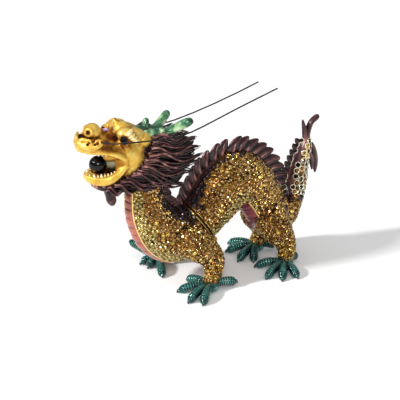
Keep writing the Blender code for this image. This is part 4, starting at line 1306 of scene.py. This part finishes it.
def manePiece():
    cores = [
        ball((-36.4, 0, 58.6), (10.0, 8.9, 10.2), 32), ball((-40.2, 0, 62.6), (4.6, 8.2, 5.6), 20),
        ball((-46.0, 0, 52.6), (8.4, 8.0, 4.6), -28), ball((-27.4, 0, 54.8), (8.6, 5.0, 6.0), 30)]
    near = []
    for k, (root, tip, radius) in enumerate(maneLocks):
        near += lockRows(root, tip, radius, mane["strands"], 1.5, 1.3, k)
    crown = []
    for k, y in enumerate((-4.2, -1.6, 1.2, 4.0)):
        crown += lockRows(
            (-34.5, y, 65.2), (-16.6 - 0.5 * abs(y), y * 0.9, 61.6 - 0.3 * abs(y)), 2.0, 8, 1.0, 0.0, k)
    beardTuft = [
        (-54.2, 0, 49.0, 2.0), (-53.3, 0, 45.0, 2.05), (-52.7, 0, 41.8, 2.1), (-52.4, 0, 40.4, 1.8),
        (-52.3, 0, 39.2, 1.0), (-52.3, 0, 38.9, 0.3)]
    beardRib = [(-55.4, -1.4, 47.0, 0.5), (-54.3, -1.6, 44.0, 0.55), (-53.6, -1.6, 41.4, 0.5)]
    chinBand = [(-60.4, 0, 49.8, 1.3), (-57.0, 0, 48.2, 1.8), (-52.0, 0, 48.2, 2.5), (-47.0, 0, 48.6, 3.0)]
    chinLocks = []
    for k, (y, z) in enumerate(((-1.0, 48.0), (-2.6, 48.2), (-4.2, 48.8))):
        chinLocks += lockRows((-60.0 + 0.8 * k, y, z + 1.2), (-46.0 + k, y * 1.6, 46.0), 1.0, 6, 0.5, 0.8, k)
    parts = [
        *cores, *bothSides([tubes(near, 8, smooth=2), tubes(chinLocks, 8, smooth=2)]),
        tubes(crown, 8, smooth=2),
        tubes([chinBand], 24, 2.0, 5), tubes([beardTuft], 20, 1.1, 5),
        *bothSides([tubes([beardRib], 12, smooth=4)])]
    made = joined(parts, "mane")
    markShadeAndPatina(made, 1.15)
    return settle(made, "front", [metals["mane enamel"]], 50)


manePiece()
print("mane made")


# Tail tuft


def tailTuft():
    end = Vector((42.0, 0, 51.0))
    blunt = [
        (-0.4, -3.0, 1.9), (0.0, 0.2, 1.6), (0.4, 2.8, 1.4), (2.0, 6.8, 1.3), (4.4, 8.6, 1.35),
        (5.6, 9.2, 1.0), (6.0, 9.3, 0.4)]
    fine = [(-0.4, -2.0, 1.6), (-1.2, 4.0, 1.2), (-2.0, 7.4, 0.7), (-2.2, 8.8, 0.35)]
    rows = [[(end.x + x, 0, end.z + z, r) for x, z, r in way] for way in (blunt, fine)]
    leaves = [
        [(42.0, 0.7, 49.5, 1.2), (45.2, 0.7, 46.5, 1.5), (46.9, 0.7, 40.0, 1.5), (47.2, 0.7, 34.4, 0.5)],
              [(41.6, -0.9, 46.0, 1.2), (43.8, -0.9, 42.0, 1.3), (44.6, -0.9, 36.6, 0.5)]]
    grooves = []
    for way in leaves:
        for side in (-1, 0, 1):
            grooves.append([(x + side * r * 0.5, y - 0.5 * r, z, max(0.2, r * 0.36)) for x, y, z, r in way])
    made = joined([tubes(rows, 16, smooth=5), tubes(leaves + grooves, 14, smooth=5)], "tailTuft")
    markShadeAndPatina(made)
    return settle(made, "rear", [metals["plum enamel"]], 50)


tailTuft()

handedOn = {
    "eye_left": blackGlass, "eye_right": blackGlass, "hinge_pin": pinSteel, "whisker_left": lacquer,
    "whisker_right": lacquer}
for name, material in handedOn.items():
    frame["nodes"][name].data.materials.clear()
    frame["nodes"][name].data.materials.append(material)
print("carried-over pieces finished")


# Floor, light and camera


def studio():
    deselectAll()
    bpy.ops.mesh.primitive_plane_add(size=6, location=(0, 0, 0))
    floor = bpy.context.object
    floor.name = "floor"
    paper, _, _ = newMaterial("white_paper", {
        "Base Color": toLinear("#F6F6F5"), "Roughness": 0.8, "Specular IOR Level": 0.1})
    floor.data.materials.append(paper)
    world = bpy.data.worlds.new("studio")
    bpy.context.scene.world = world
    world.use_nodes = True
    tree = world.node_tree
    way = addNode(tree, "ShaderNodeTexCoord").outputs["Generated"]
    height = addNode(tree, "ShaderNodeSeparateXYZ", {"Vector": way}).outputs["Z"]
    stops = [(0.0, "#6E7074"), (0.35, "#A8AAAE"), (1.0, "#FFFFFF")]
    sky = addNode(tree, "ShaderNodeValToRGB", {"Fac": height}, stops)
    tree.links.new(sky.outputs["Color"], tree.nodes["Background"].inputs["Color"])
    tree.nodes["Background"].inputs["Strength"].default_value = 0.75
    for name, kind, place, size, power in (
        ("keyLight", "SUN", (-0.74, 0.10, 0.50), 0.12, 3.4),
        ("fillLight", "AREA", (-0.40, -0.75, 0.50), 0.30, 4.0),
    ):
        lamp = bpy.data.lights.new(name, kind)
        setattr(lamp, "angle" if kind == "SUN" else "size", size)
        lamp.energy = power
        made = bpy.data.objects.new(name, lamp)
        made.location = place
        made.rotation_euler = (Vector((0, 0, 0.03)) - Vector(place)).to_track_quat("-Z", "Y").to_euler()
        bpy.context.scene.collection.objects.link(made)
    bpy.context.scene.view_settings.view_transform = "Standard"


def photoCamera():
    view = {"azimuth": -30, "elevation": 22, "distance": 0.7, "lens": 150.0, "aim": (-11.0, 0, 33.0)}
    turn, tilt = math.radians(view["azimuth"]), math.radians(view["elevation"])
    back = Vector((math.sin(turn) * math.cos(tilt), -math.cos(turn) * math.cos(tilt), math.sin(tilt)))
    lens = bpy.data.cameras.new("photoCamera")
    lens.lens = view["lens"]
    lens.sensor_width = 36
    made = bpy.data.objects.new("photoCamera", lens)
    made.location = onFrame @ Vector(view["aim"]) + back * view["distance"]
    made.rotation_euler = (-back).to_track_quat("-Z", "Y").to_euler()
    bpy.context.scene.collection.objects.link(made)
    bpy.context.scene.camera = made


studio()
photoCamera()
print("scene ready")
